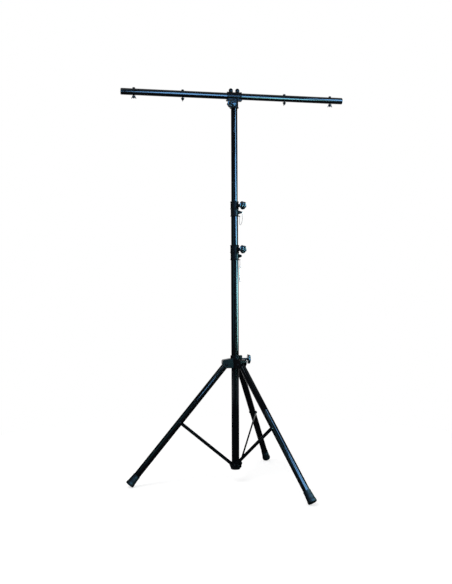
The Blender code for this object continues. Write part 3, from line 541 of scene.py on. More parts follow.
def prism(outline, low, high):
    """An outline of (x, z) points, thick along Y from low to high."""
    bm = bmesh.new()
    near = [bm.verts.new((x, low, z)) for x, z in outline]
    far = [bm.verts.new((x, high, z)) for x, z in outline]
    bm.faces.new(near)
    bm.faces.new(far)
    for k in range(len(outline)):
        after = (k + 1) % len(outline)
        bm.faces.new((near[k], near[after], far[after], far[k]))
    return loose(bm)


def in_scene(name, data):
    """A new object in the scene."""
    made = bpy.data.objects.new(name, data)
    bpy.context.scene.collection.objects.link(made)
    return made


def loose(bm):
    """A loose object of a bmesh, faces outwards, to be cut, joined or finished."""
    bmesh.ops.recalc_face_normals(bm, faces=bm.faces)
    mesh = bpy.data.meshes.new("shape")
    bm.to_mesh(mesh)
    bm.free()
    return in_scene("shape", mesh)


def moved(piece, matrix):
    piece.data.transform(matrix)
    return piece


def settled(piece):
    """The piece with its modifiers turned into its plain mesh."""
    evaluated = piece.evaluated_get(bpy.context.evaluated_depsgraph_get())
    mesh = bpy.data.meshes.new_from_object(evaluated)
    if piece.type == "MESH":
        piece.modifiers.clear()
        piece.data = mesh
        return piece
    bpy.data.objects.remove(piece)
    return in_scene("shape", mesh)


def carved(piece, operation, *tools):
    """The piece with the tools taken out of it or fused to it, and the tools gone."""
    for tool in tools:
        modifier = piece.modifiers.new("carve", "BOOLEAN")
        modifier.operation = operation
        modifier.solver = "EXACT"
        modifier.object = tool
    settled(piece)
    for tool in tools:
        bpy.data.objects.remove(tool)
    return piece


def cut(piece, *tools):
    return carved(piece, "DIFFERENCE", *tools)


def fused(piece, *tools):
    return carved(piece, "UNION", *tools)


def cast(piece, grain, rounds=3):
    """Rounds every edge and inner corner as a casting's are."""
    remesh = piece.modifiers.new("cast", "REMESH")
    remesh.mode = "VOXEL"
    remesh.voxel_size = grain
    soften = piece.modifiers.new("soften", "SMOOTH")
    soften.factor = 0.5
    soften.iterations = rounds
    return settled(piece)


def bevelled(piece, width, segments=3, angle=30):
    bevel = piece.modifiers.new("bevel", "BEVEL")
    bevel.width = width
    bevel.segments = segments
    bevel.limit_method = "ANGLE"
    bevel.angle_limit = radians(angle)
    return settled(piece)


def joined(first, *others):
    """Several loose objects as one, without fusing them."""
    bm = bmesh.new()
    for piece in (first, *others):
        bm.from_mesh(piece.data)
    bm.to_mesh(first.data)
    bm.free()
    for piece in others:
        bpy.data.objects.remove(piece)
    return first


def show(piece, node, matrix=Matrix(), smooth=38, follows=None, finish=None):
    """Finish a piece that stands for a node: keep its own coordinates for the finish, then place it.

    smooth is the angle up to which edges shade smooth. follows is (body, body, start, end) where the piece crosses
    a joint between two bodies; its parts are not used, and when it is given the piece is left in place with no body.
    """
    mesh = piece.data
    piece.name = mesh.name = node + "_finished"
    count = len(mesh.vertices)
    places = [0.0] * (3 * count)
    mesh.vertices.foreach_get("co", places)
    own = mesh.attributes.new("own_place", "FLOAT_VECTOR", "POINT")
    own.data.foreach_set("vector", places)
    mesh.transform(matrix)
    mesh.materials.clear()
    mesh.materials.append(FINISHES[finish or SLOT_OF[node]])
    mesh.polygons.foreach_set("material_index", [0] * len(mesh.polygons))
    mesh.shade_smooth()
    mesh.set_sharp_from_angle(angle=radians(smooth))
    if follows:
        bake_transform(piece)
    else:
        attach(piece, BODY_OF[node])
    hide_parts(node)


# ---- What repeats or follows a path, as Geometry Nodes


class Recipe(Net):
    """A Geometry Nodes tree with named inputs that ends in real geometry with one finish."""

    def __init__(self, name, inputs):
        tree = bpy.data.node_groups.new(name, "GeometryNodeTree")
        super().__init__(tree)
        tree.interface.new_socket("Shape", in_out="OUTPUT", socket_type="NodeSocketGeometry")
        tree.interface.new_socket("Shape", in_out="INPUT", socket_type="NodeSocketGeometry")
        for label, kind in inputs.items():
            tree.interface.new_socket(label, in_out="INPUT", socket_type="NodeSocket" + kind)
        tree.interface.new_socket("Finish", in_out="INPUT", socket_type="NodeSocketMaterial")
        self.entry = tree.nodes.new("NodeGroupInput")
        self.exit = tree.nodes.new("NodeGroupOutput")

    def given(self, label):
        return Value(self, self.entry.outputs[label])

    def circle(self, sides, radius):
        return self.add("GeometryNodeCurvePrimitiveCircle", {"mode": "RADIUS"}, {"Resolution": sides, "Radius": radius})

    def end(self, shape):
        real = self.add("GeometryNodeRealizeInstances", None, {"Geometry": shape})
        painted = self.add("GeometryNodeSetMaterial", None, {"Geometry": real, "Material": self.given("Finish")})
        self.feed(self.exit.inputs["Shape"], painted)
        return self

    def on(self, piece, slot, sizes):
        """The piece's mesh as the tree makes it with these sizes."""
        modifier = piece.modifiers.new(self.tree.name, "NODES")
        modifier.node_group = self.tree
        wanted = {**sizes, "Finish": FINISHES[slot]}
        for item in self.tree.interface.items_tree:
            if item.in_out == "INPUT" and item.name in wanted:
                modifier[item.identifier] = wanted[item.name]
        return settled(piece)


def drilled_row():
    """A row of round holes through a tube."""
    recipe = Recipe("drilled_row", {"Start": "Vector", "Step": "Vector", "Aim": "Vector", "Count": "Int",
                                    "Radius": "Float", "Reach": "Float"})
    given = recipe.given
    row = recipe.add("GeometryNodeMeshLine", {"mode": "OFFSET"},
                     {"Count": given("Count"), "Start Location": given("Start"), "Offset": given("Step")})
    drill = recipe.add("GeometryNodeMeshCylinder", None,
                       {"Vertices": HOLE_SIDES, "Radius": given("Radius"), "Depth": given("Reach")})
    drills = recipe.add("GeometryNodeInstanceOnPoints", None,
                        {"Points": row, "Instance": drill, "Rotation": given("Aim")})
    real = recipe.add("GeometryNodeRealizeInstances", None, {"Geometry": drills})
    holed = recipe.add("GeometryNodeMeshBoolean", {"operation": "DIFFERENCE", "solver": "EXACT"},
                       {"Mesh 1": given("Shape"), "Mesh 2": real})
    return recipe.end(holed)


def rolled_thread():
    """A rolled thread: a rounded ridge that winds up a core."""
    recipe = Recipe("rolled_thread", {"Radius": "Float", "Low": "Float", "Length": "Float", "Pitch": "Float"})
    given = recipe.given
    ridge_r = RIDGE_SHARE * given("Pitch")
    line_r = given("Radius") - ridge_r
    height = given("Length") - 2 * ridge_r
    coil = recipe.add("GeometryNodeCurveSpiral", None,
                      {"Resolution": THREAD_STEPS, "Rotations": height / given("Pitch"), "Height": height,
                       "Start Radius": line_r, "End Radius": line_r})
    ridge = recipe.add("GeometryNodeCurveToMesh", None,
                       {"Curve": coil, "Profile Curve": recipe.circle(RIDGE_SIDES, ridge_r), "Fill Caps": True})
    core = recipe.add("GeometryNodeMeshCylinder", None,
                      {"Vertices": THREAD_SIDES, "Radius": given("Radius") - 1.3 * ridge_r, "Depth": given("Length")})
    both = recipe.add("GeometryNodeJoinGeometry", None, {"Geometry": given("Shape")})
    for part, lift in ((ridge, ridge_r), (core, 0.5 * given("Length"))):
        seat = recipe.add("ShaderNodeCombineXYZ", None, {"Z": given("Low") + lift})
        placed = recipe.add("GeometryNodeTransform", None, {"Geometry": part, "Translation": seat})
        recipe.feed(both.socket.node.inputs["Geometry"], placed)
    return recipe.end(both)


def laid_rope():
    """Wire strands laid round a straight one, turning as they go."""
    recipe = Recipe("laid_rope", {"Strands": "Int", "Strand radius": "Float", "Centre radius": "Float",
                                  "Lay radius": "Float", "Turns per metre": "Float"})
    given = recipe.given
    fine = recipe.add("GeometryNodeResampleCurve", None, {"Curve": given("Shape"), "Count": ROPE_POINTS})
    run = recipe.add("GeometryNodeSplineParameter", output="Length")
    turned = recipe.add("GeometryNodeSetCurveTilt", None,
                        {"Curve": fine, "Tilt": run * (given("Turns per metre") * tau)})
    strand, centre = (recipe.circle(STRAND_SIDES, given(label)) for label in ("Strand radius", "Centre radius"))
    seats = recipe.add("GeometryNodeMeshCircle", None, {"Vertices": given("Strands"), "Radius": given("Lay radius")})
    outer = recipe.add("GeometryNodeInstanceOnPoints", None, {"Points": seats, "Instance": strand})
    section = recipe.add("GeometryNodeJoinGeometry", None, {"Geometry": centre})
    recipe.feed(section.socket.node.inputs["Geometry"],
                recipe.add("GeometryNodeRealizeInstances", None, {"Geometry": outer}))
    rope = recipe.add("GeometryNodeCurveToMesh", None,
                      {"Curve": turned, "Profile Curve": section, "Fill Caps": True})
    return recipe.end(rope)


DRILLED_ROW = drilled_row()
ROLLED_THREAD = rolled_thread()
LAID_ROPE = laid_rope()


def threaded(radius, low, high):
    """A threaded rod from low to high."""
    return ROLLED_THREAD.on(loose(bmesh.new()), "dark_steel",
                            {"Radius": radius, "Low": low, "Length": high - low, "Pitch": THREAD_PITCH})


# ---- Mast


def round_tube(radius, wall, low, high, sides=ROUND_SIDES):
    """A drawn tube with its end edges just broken."""
    outline = [(radius, low), (radius, high), (radius - wall, high), (radius - wall, low)]
    return lathe(eased(outline, 0.00035, closed=True), sides, closed=True)


def drilled(tube, start, radius, aim, step=(0, 0, 0), count=1):
    """Holes right through a painted tube, in a row, each along Z turned by aim."""
    return DRILLED_ROW.on(tube, "gloss_paint", {"Start": start, "Step": step, "Aim": aim, "Count": count,
                                                "Radius": radius, "Reach": DRILL_LENGTH})


def make_mast_tubes():
    lower_pin_z = span("outer_tube", 2)[1] - COLLAR_GRIP + COLLAR_PIN_UP
    upper_pin_z = span("middle_tube", 2)[1] - COLLAR_GRIP + COLLAR_PIN_UP
    step = (0, 0, -PIN_HOLE_PITCH)
    rows = {
        "outer_tube": (OUTER_R, [(lower_pin_z, 1)]),
        "middle_tube": (MID_R, [(upper_pin_z, 1), (lower_pin_z - PIN_HOLE_PITCH, PIN_HOLE_COUNT - 1)]),
        "top_tube": (TOP_R, [(upper_pin_z, PIN_HOLE_COUNT)]),
    }
    for node, (radius, holes) in rows.items():
        tube = round_tube(radius, TUBE_WALL, *span(node, 2))
        for top, count in holes:
            tube = drilled(tube, (0, 0, top), PIN_HOLE_R, (0, QUARTER, PIN_AZIMUTH), step, count)
        show(tube, node)


# ---- Knobs and their screws


def star(angle):
    """1 on a lobe and -1 in a scallop, with the lobes wider than the scallops."""
    return 1 - 2 * (0.5 - 0.5 * cos(KNOB_LOBES * angle)) ** 1.5


def star_knob(size, neck_start):
    """A moulded star knob along Z: neck, round skirt, and a five-lobed head with a dished face."""
    radius, thickness, neck = size
    head_low, head_high = 0.26 * thickness, 0.97 * thickness

    def lobes(angle, height):
        grown = min(1.0, max(0.0, (height - head_low) / (0.16 * thickness)))
        return 1 + 0.125 * star(angle) * grown * grown * (3 - 2 * grown)

    skirt = [(0, neck_start), (neck, neck_start), (neck, 0), (0.89 * radius, 0), (0.955 * radius, 0.10 * thickness),
             (0.94 * radius, 0.20 * thickness), (0.83 * radius, head_low), (0.83 * radius, 0.42 * thickness),
             (0.81 * radius, 0.78 * thickness), (0.70 * radius, head_high), (0.52 * radius, head_high)]
    face = [(0.40 * radius, 0.88 * thickness), (0.36 * radius, 0.88 * thickness), (0.33 * radius, 0.97 * thickness),
            (0.10 * radius, thickness), (0, thickness)]
    return lathe(eased(skirt + face, 0.0014, 5), KNOB_SIDES, lobes=lobes)


def make_clamp(name, size, azimuth, height, tip, boss_reach, back):
    """A knob and its screw, on an axis that points out from the mast."""
    line = upright((0, 0, height), azimuth)
    knob = star_knob(size, boss_reach + GAP - back)
    show(knob, name + "_knob", line @ along_x(back), smooth=50)
    show(threaded(SCREW_R, tip, boss_reach), name + "_screw", line @ along_x())


# ---- Collars


def make_collar(name, tube_r, inner_r, tube_top):
    bottom = tube_top - COLLAR_GRIP
    bore = tube_r + GAP
    barrel = tube_r + COLLAR_WALL
    upper_barrel = barrel + 0.4 * COLLAR_RIM
    rim = barrel + COLLAR_RIM
    step = COLLAR_STEP
    top = span(name, 2)[1] - bottom
    profile = [
        (0, 0), (rim - step / 2, 0), (rim, step / 2), (rim, 2 * step), (barrel, 2.8 * step),
        (barrel, COLLAR_GRIP - 2 * step), (rim, COLLAR_GRIP - 1.2 * step), (rim, COLLAR_GRIP + 1.2 * step),
        (upper_barrel, COLLAR_GRIP + 2 * step), (upper_barrel, top - 2.8 * step),
        (rim, top - 2 * step), (rim, top - step / 2), (rim - step / 2, top), (0, top),
    ]
    body = lathe(eased(profile, 0.0006))
    knob_line = upright((0, 0, COLLAR_KNOB_UP), KNOB_AZIMUTH) @ along_x()
    pin_line = upright((0, 0, COLLAR_PIN_UP), PIN_AZIMUTH) @ along_x()
    boss = moved(rod(KNOB_BOSS_R, bore, COLLAR_BOSS_REACH), knob_line)
    cone_profile = [(0, bore), (CONE_BASE_R, bore), (CONE_BASE_R, rim), (CONE_TIP_R, CONE_REACH), (0, CONE_REACH)]
    cone = moved(lathe(eased(cone_profile, 0.0008)), pin_line)
    lug_outline = [(bore, 0), (LUG_REACH, 0), (LUG_REACH, LUG_THICK), (bore, LUG_THICK)]
    lug = moved(prism(lug_outline, -LUG_HALF, LUG_HALF), upright(azimuth=PIN_AZIMUTH))
    fused(body, boss, cone, lug)
    cast(body, 0.0007)
    cut(body, rod(bore, -OVERRUN, top - COLLAR_LIP, ROUND_SIDES),
        rod(inner_r + 3 * GAP, 0.02, top + OVERRUN, ROUND_SIDES),
        moved(rod(SCREW_R + GAP, 0, HOLE_CUT), knob_line), moved(rod(PIN_R + GAP, -HOLE_CUT, HOLE_CUT), pin_line))
    show(body, name, up(bottom), smooth=30)

    low, high = span(name + "_bush", 2)
    bush = round_tube(tube_r, tube_r - inner_r - GAP, low, high)
    below, above = low - OVERRUN, high + OVERRUN
    out = HOLE_CUT / 2
    slit = prism([(0, below), (out, below), (out, above), (0, above)], -BUSH_SLIT / 2, BUSH_SLIT / 2)
    show(cut(bush, moved(slit, upright(azimuth=KNOB_AZIMUTH + pi))), name + "_bush")
    make_clamp(name, COLLAR_KNOB, KNOB_AZIMUTH, bottom + COLLAR_KNOB_UP, tube_r + GAP, COLLAR_BOSS_REACH,
               COLLAR_KNOB_BACK)
    return upright((0, 0, bottom + COLLAR_PIN_UP), PIN_AZIMUTH)


# ---- Safety pins and lanyards


def safety_pin(tip, ring_at):
    """A pin along Z, its head at z = 0 and up, with a split ring of two turns of wire through it."""
    head = PIN_HEAD_LENGTH
    profile = [(0, tip), (0.55 * PIN_R, tip), (PIN_R, tip + PIN_R), (PIN_R, -0.0012), (0.9 * PIN_R, -0.0004),
               (PIN_HEAD_R, 0.1 * head), (PIN_HEAD_R, 0.75 * head), (0.6 * PIN_HEAD_R, head), (0, head)]
    wire = 0.56 * RING_WIRE_R     # the two turns together are as thick as the frame's ring
    turns = [moved(lathe(arc(RING_R, level, wire, 0, 324, 36), NUT_SIDES, closed=True), upright(ring_at))
             for level in (-wire * 0.8, wire * 0.8)]
    return joined(lathe(eased(profile, 0.0007), BOLT_SIDES), *turns)


def lanyard(node, line, points, follows=None):
    """A wire rope along a route that is given in the pin's own frame."""
    route = smooth_route([line @ Vector(point) for point in points])
    curve = bpy.data.curves.new(node + "_line", "CURVE")
    curve.dimensions = "3D"
    spline = curve.splines.new("POLY")
    spline.points.add(len(route) - 1)
    for point, place in zip(spline.points, route):
        point.co = (*place, 1.0)
    strand = LANYARD_DIA / 6
    rope = LAID_ROPE.on(in_scene(node + "_line", curve), "rope_steel", {
        "Strands": LANYARD_STRANDS, "Strand radius": strand, "Centre radius": strand,
        "Lay radius": LANYARD_DIA / 2 - strand, "Turns per metre": LANYARD_LAY,
    })
    show(rope, node, follows=follows, finish="rope_steel")
    length = sum((b - a).length for a, b in zip(route, route[1:]))
    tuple(route[0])


def smooth_route(points):
    """Evenly spaced points on a Catmull-Rom curve through the route's own points."""
    ends = [2 * points[0] - points[1]] + points + [2 * points[-1] - points[-2]]
    fine = []
    for a, b, c, d in zip(ends, ends[1:], ends[2:], ends[3:]):
        for step in range(ROUTE_STEPS):
            t = step / ROUTE_STEPS
            fine.append(0.5 * ((2 * b) + (c - a) * t + (2 * a - 5 * b + 4 * c - d) * t ** 2
                               + (3 * b - a - 3 * c + d) * t ** 3))
    fine.append(points[-1])
    length = sum((q - p).length for p, q in zip(fine, fine[1:]))
    count = max(3, round(length / LANYARD_SPACING))
    even, walked, k = [fine[0]], 0.0, 1
    for n in range(1, count):
        goal = length * n / count
        while walked + (fine[k] - fine[k - 1]).length < goal:
            walked += (fine[k] - fine[k - 1]).length
            k += 1
        step = fine[k] - fine[k - 1]
        even.append(fine[k - 1] + step * ((goal - walked) / step.length))
    return even + [fine[-1]]


def make_pins_and_lanyards(upper_line, lower_line):
    pin_head = CONE_REACH + GAP
    ring_drop = PIN_HEAD_R + RING_R - RING_WIRE_R
    ring_x = pin_head + PIN_HEAD_LENGTH / 2
    wire_start = -ring_drop - RING_R - RING_WIRE_R - GAP
    lug_bottom = -COLLAR_PIN_UP - GAP
    upper_pin = safety_pin(TOP_R + 2 * GAP - pin_head, (ring_drop, 0, PIN_HEAD_LENGTH / 2))
    show(upper_pin, "upper_safety_pin", upper_line @ along_x(pin_head))
    upper_route = [
        (ring_x, 0, wire_start), (ring_x, 0, wire_start - 0.005), (0.0427, 0, -0.030), (0.0405, 0, -0.048),
        (0.0355, 0, -0.0640), (0.0300, 0, -0.0690), (0.0268, 0, -0.0620), (0.0266, 0, -0.046),
        (LANYARD_EXIT_R, 0, lug_bottom - 0.006), (LANYARD_EXIT_R, 0, lug_bottom),
    ]
    start, end = (upper_line @ Vector((x, 0, 0)) for x in (LANYARD_EXIT_R, ring_x))
    lanyard("upper_lanyard", upper_line, upper_route[::-1], ("middle_mast", "upper_pin", start, end))

    hanging_z = -COLLAR_PIN_UP - LOWER_PIN_DROP
    hanging_pin = frame["nodes"]["lower_safety_pin"]
    for holder in hanging_pin.material_slots:
        holder.material = bright_steel(frame_node=True)
    wire_end = hanging_z + 2 * RING_R + GAP
    lower_route = [
        (LANYARD_EXIT_R, 0, lug_bottom), (LANYARD_EXIT_R, 0, lug_bottom - 0.005),
        (LANYARD_EXIT_R + 0.0008, 0.0004, (lug_bottom + wire_end) / 2),
        (LANYARD_EXIT_R, 0, wire_end + 0.005), (LANYARD_EXIT_R, 0, wire_end),
    ]
    lanyard("lower_lanyard", lower_line, lower_route)


# ---- Bolts


def dome_bolt(radius, low, high, head_r, head, nut_r=0.0, nut=0.0):
    """A bolt along Z: a dome head with a hexagon socket above high, and where wanted a locknut below low."""
    above = [(head_r, high), (head_r, high + 0.35 * head), (0.86 * head_r, high + 0.72 * head),
             (0.5 * head_r, high + head), (0, high + head)]
    bolt = lathe(eased([(0, low), (radius, low), (radius, high)] + above, 0.0008), BOLT_SIDES)
    cut(bolt, rod(0.42 * head_r, high + 0.45 * head, high + 2 * head, 6))
    if not nut:
        return bolt
    flats = rod(nut_r, low - 0.62 * nut, low, 6)
    crown = lathe(eased([(0, low - nut), (0.70 * nut_r, low - nut), (0.80 * nut_r, low - 0.62 * nut),
                         (0.80 * nut_r, low - 0.5 * nut), (0, low - 0.5 * nut)], 0.0006), BOLT_SIDES)
    return joined(bolt, bevelled(flats, 0.0004, 2), crown)


# ---- Sliding hub


def at_sides(outline, low, high):
    """The same prism at each leg's azimuth."""
    return [moved(prism(outline, low, high), upright(azimuth=turn)) for turn in AZIMUTHS.values()]


def make_hub():
    low, high = span("hub_casting", 2)
    low, high = low - LEG_PIVOT_Z, high - LEG_PIVOT_Z
    edge = 0.003
    hub = lathe([(0, low), (HUB_R, low), (HUB_R, high - edge), (HUB_R - edge / 2, high), (0, high)])
    root = HUB_R - HUB_WALL / 2
    ear_inner = LEG_R + GAP
    ear_outer = ear_inner + HUB_EAR_WALL
    half = HUB_BLOCK_WIDTH / 2
    end = HUB_BLOCK_REACH
    block = [(root, 0.008), (end - 0.008, 0.008), (end, 0.016), (end, high - edge), (end - edge, high), (root, high)]
    fused(hub, prism(block, -half, half))

    # An ear's outline, and the slot under the hood between a pair of ears
    reach = HUB_EAR_REACH
    ear_root = sqrt((HUB_R - HUB_WALL / 4) ** 2 - ear_outer ** 2)
    ear = [(ear_root, low), (LEG_PIVOT_R + 0.002, low), (LEG_PIVOT_R + 0.012, low + 0.006), (reach, 0.004),
           (reach, 0.019), (reach - 0.005, 0.025), (root, 0.032), (ear_root, 0.032)]
    slot = [(HUB_R + 0.0010, low - OVERRUN), (reach + 0.02, low - OVERRUN), (reach + 0.02, 0.0085),
            (reach - 0.004, 0.0085), (reach - 0.004, 0.0175), (reach - 0.0075, 0.0212), (HUB_R + 0.0010, 0.0268)]
    fused(hub, *at_sides(ear, -ear_outer, ear_outer))
    cut(hub, *at_sides(slot, -ear_inner, ear_inner))
    cast(hub, 0.0009)

    holes = [moved(rod(PIVOT_BOLT_R + GAP, -0.03, 0.03), upright(around(LEG_PIVOT_R, turn), turn) @ along_y())
             for turn in AZIMUTHS.values()]
    knob_up = middle("hub_knob", 2) - LEG_PIVOT_Z
    screw = moved(rod(SCREW_R + GAP, 0, 2 * end), up(knob_up) @ along_x())
    bore = rod(OUTER_R + GAP, low - OVERRUN, high + OVERRUN, ROUND_SIDES)
    cut(hub, *at_sides(slot, -ear_inner, ear_inner), bore, screw, *holes)
    show(hub, "hub_casting", up(LEG_PIVOT_Z), smooth=30)
    make_clamp("hub", HUB_KNOB, 0.0, LEG_PIVOT_Z + knob_up, OUTER_R + GAP, end, HUB_KNOB_BACK)


# ---- Legs, feet and braces


def make_leg(side):
    azimuth = AZIMUTHS[side]
    pivot = around(LEG_PIVOT_R, azimuth, LEG_PIVOT_Z)
    line = upright(pivot, azimuth, -LEG_SPREAD)
    tube = round_tube(LEG_R, HEAVY_WALL, -LEG_LENGTH + FOOT_FLOOR + GAP, LEG_ABOVE_PIVOT)
    for height, radius in ((0.0, PIVOT_BOLT_R + GAP), (-BRACE_ALONG_LEG, BRACE_BOLT_R + GAP)):
        tube = drilled(tube, (0, 0, height), radius, (QUARTER, 0, 0))
    show(tube, side + "_leg_tube", line)

    cup = LEG_R + GAP
    outline = [
        (0, 0), (0.45 * FOOT_SOLE_R, 0), (0.45 * FOOT_SOLE_R, 0.0008), (0.62 * FOOT_SOLE_R, 0.0008),
        (0.62 * FOOT_SOLE_R, 0), (FOOT_SOLE_R, 0), (FOOT_FLARE_R, 0.002), (FOOT_FLARE_R - 0.0004, 0.012),
        (FOOT_FLARE_R - 0.0022, 0.020), (FOOT_TOP_R + 0.0012, 0.034), (FOOT_TOP_R, 0.046),
    ]
    for ring in (0.0480, 0.0515, 0.0550):
        outline += [(FOOT_TOP_R, ring), (FOOT_TOP_R - 0.0005, ring + 0.0005), (FOOT_TOP_R - 0.0005, ring + 0.0014),
                    (FOOT_TOP_R, ring + 0.0019)]
    outline += [(FOOT_TOP_R, FOOT_HEIGHT), (cup, FOOT_HEIGHT), (cup, FOOT_FLOOR), (0, FOOT_FLOOR)]
    show(lathe(eased(outline, 0.0012, 4)), side + "_foot", line @ up(-LEG_LENGTH))

    show(dome_bolt(BRACE_BOLT_R, -LEG_R, LEG_R + GAP, BRACE_HEAD_R, BRACE_HEAD), side + "_brace_bolt",
         line @ up(-BRACE_ALONG_LEG) @ along_y(-1))
    seat = LEG_R + HUB_EAR_WALL + 2 * GAP
    show(dome_bolt(PIVOT_BOLT_R, -seat, seat, PIVOT_HEAD_R, PIVOT_HEAD, PIVOT_HEAD_R, PIVOT_HEAD),
         side + "_leg_pivot_bolt", upright(pivot, azimuth) @ along_y(-1))


def make_brace(side):
    azimuth = AZIMUTHS[side]
    pivot = around(BRACE_PIVOT_R, azimuth, BRACE_PIVOT_Z)
    line = upright(pivot, azimuth, BRACE_LEAN)
    inner = -BRACE_OFFSET - BRACE_THICK / 2
    outer = -BRACE_OFFSET + BRACE_THICK / 2
    half = BRACE_WIDTH / 2
    strip = prism(arc(0, BRACE_LENGTH, half, 0, 180, 6) + arc(0, 0, half, 180, 360, 6), inner, outer)
    holes = [moved(rod(BRACE_BOLT_R + GAP, 0.01, 0.03, HOLE_SIDES), up(height) @ along_y())
             for height in (0, BRACE_LENGTH)]
    show(bevelled(cut(strip, *holes), 0.0006), side + "_brace", line)
    rivet = dome_bolt(BRACE_BOLT_R, -outer, -inner + GAP, BRACE_HEAD_R, BRACE_HEAD)
    show(rivet, side + "_brace_rivet", line @ up(BRACE_LENGTH) @ along_y())
    seat = -inner + 2 * GAP + LUG_WALL
    pivot_bolt = dome_bolt(BRACE_BOLT_R, -outer - GAP - LUG_BLIND, seat, BRACE_HEAD_R, BRACE_HEAD)
    show(pivot_bolt, side + "_brace_pivot_bolt", upright(pivot, azimuth) @ along_y())


def make_lower_hub():
    low = span("lower_hub", 2)[0]
    top = LOWER_HUB_HEIGHT
    cup = OUTER_R + GAP
    edge = 0.004
    hub = lathe(eased([(0, 0), (LOWER_HUB_R - edge, 0), (LOWER_HUB_R, edge), (LOWER_HUB_R, top - edge / 2),
                       (LOWER_HUB_R - edge / 2, top), (0, top)], 0.001))
    level = BRACE_PIVOT_Z - low
    slot_in = -BRACE_OFFSET + BRACE_THICK / 2 + GAP
    slot_out = -BRACE_OFFSET - BRACE_THICK / 2 - GAP
    lug = [(BRACE_PIVOT_R - 0.0080, 0.006), (BRACE_PIVOT_R + 0.0015, 0.006), (BRACE_PIVOT_R + LUG_ROUND, level - 0.003)]
    lug += arc(BRACE_PIVOT_R, level, LUG_ROUND, 0, 150, 10)
    room = LUG_ROUND + 0.0006
    slot = [(-0.02, 0.06), (-0.02, level - room), (BRACE_PIVOT_R + 0.03, level - room), (BRACE_PIVOT_R + 0.03, 0.06)]
    fused(hub, *at_sides(lug, slot_out - LUG_WALL, slot_in + LUG_WALL))
    cut(hub, *at_sides(slot, slot_out, slot_in))
    cast(hub, 0.0007)
    holes = [moved(rod(BRACE_BOLT_R + GAP, -slot_in - LUG_BLIND - GAP, -slot_out + 0.02),
                   upright(azimuth=turn) @ upright((BRACE_PIVOT_R, 0, level)) @ along_y())
             for turn in AZIMUTHS.values()]
    cut(hub, *at_sides(slot, slot_out, slot_in), rod(cup, LOWER_HUB_FLOOR, 2 * BORE_CUT, ROUND_SIDES), *holes)
    show(hub, "lower_hub", up(low), smooth=30)


# ---- Cross bar and its bracket


def make_bar():
    tube = round_tube(BAR_R, HEAVY_WALL, *span("cross_bar", 0))
    for name in HANGERS:
        tube = drilled(tube, (0, 0, middle(name + "_bolt", 0)), HANGER_R + GAP, (0, QUARTER, 0))
    tube = drilled(tube, (0, 0, -CAP_SCREW_SPACING / 2), CAP_SCREW_R + GAP, (0, QUARTER, 0),
                   (0, 0, CAP_SCREW_SPACING), 2)
    show(tube, "cross_bar", up(BAR_Z) @ along_x())

    plug_r = BAR_R - HEAVY_WALL - GAP
    head = CAP_HEAD
    outline = [(0, -0.020), (plug_r - 0.001, -0.020), (plug_r, -0.018), (plug_r, GAP), (BAR_R, GAP),
               (BAR_R, 0.5 * head), (BAR_R - 0.0022, 0.9 * head), (BAR_R - 0.005, head), (0.2 * BAR_R, head),
               (0.16 * BAR_R, 0.9 * head), (0, 0.9 * head)]
    for side, turn in (("left", -1), ("right", 1)):
        cap = lathe(eased(outline, 0.0012, 4))
        reach = max(abs(x) for x in span("bar_cap_" + side, 0)) - head
        show(cap, "bar_cap_" + side, upright((turn * reach, 0, BAR_Z), lean=turn * QUARTER))


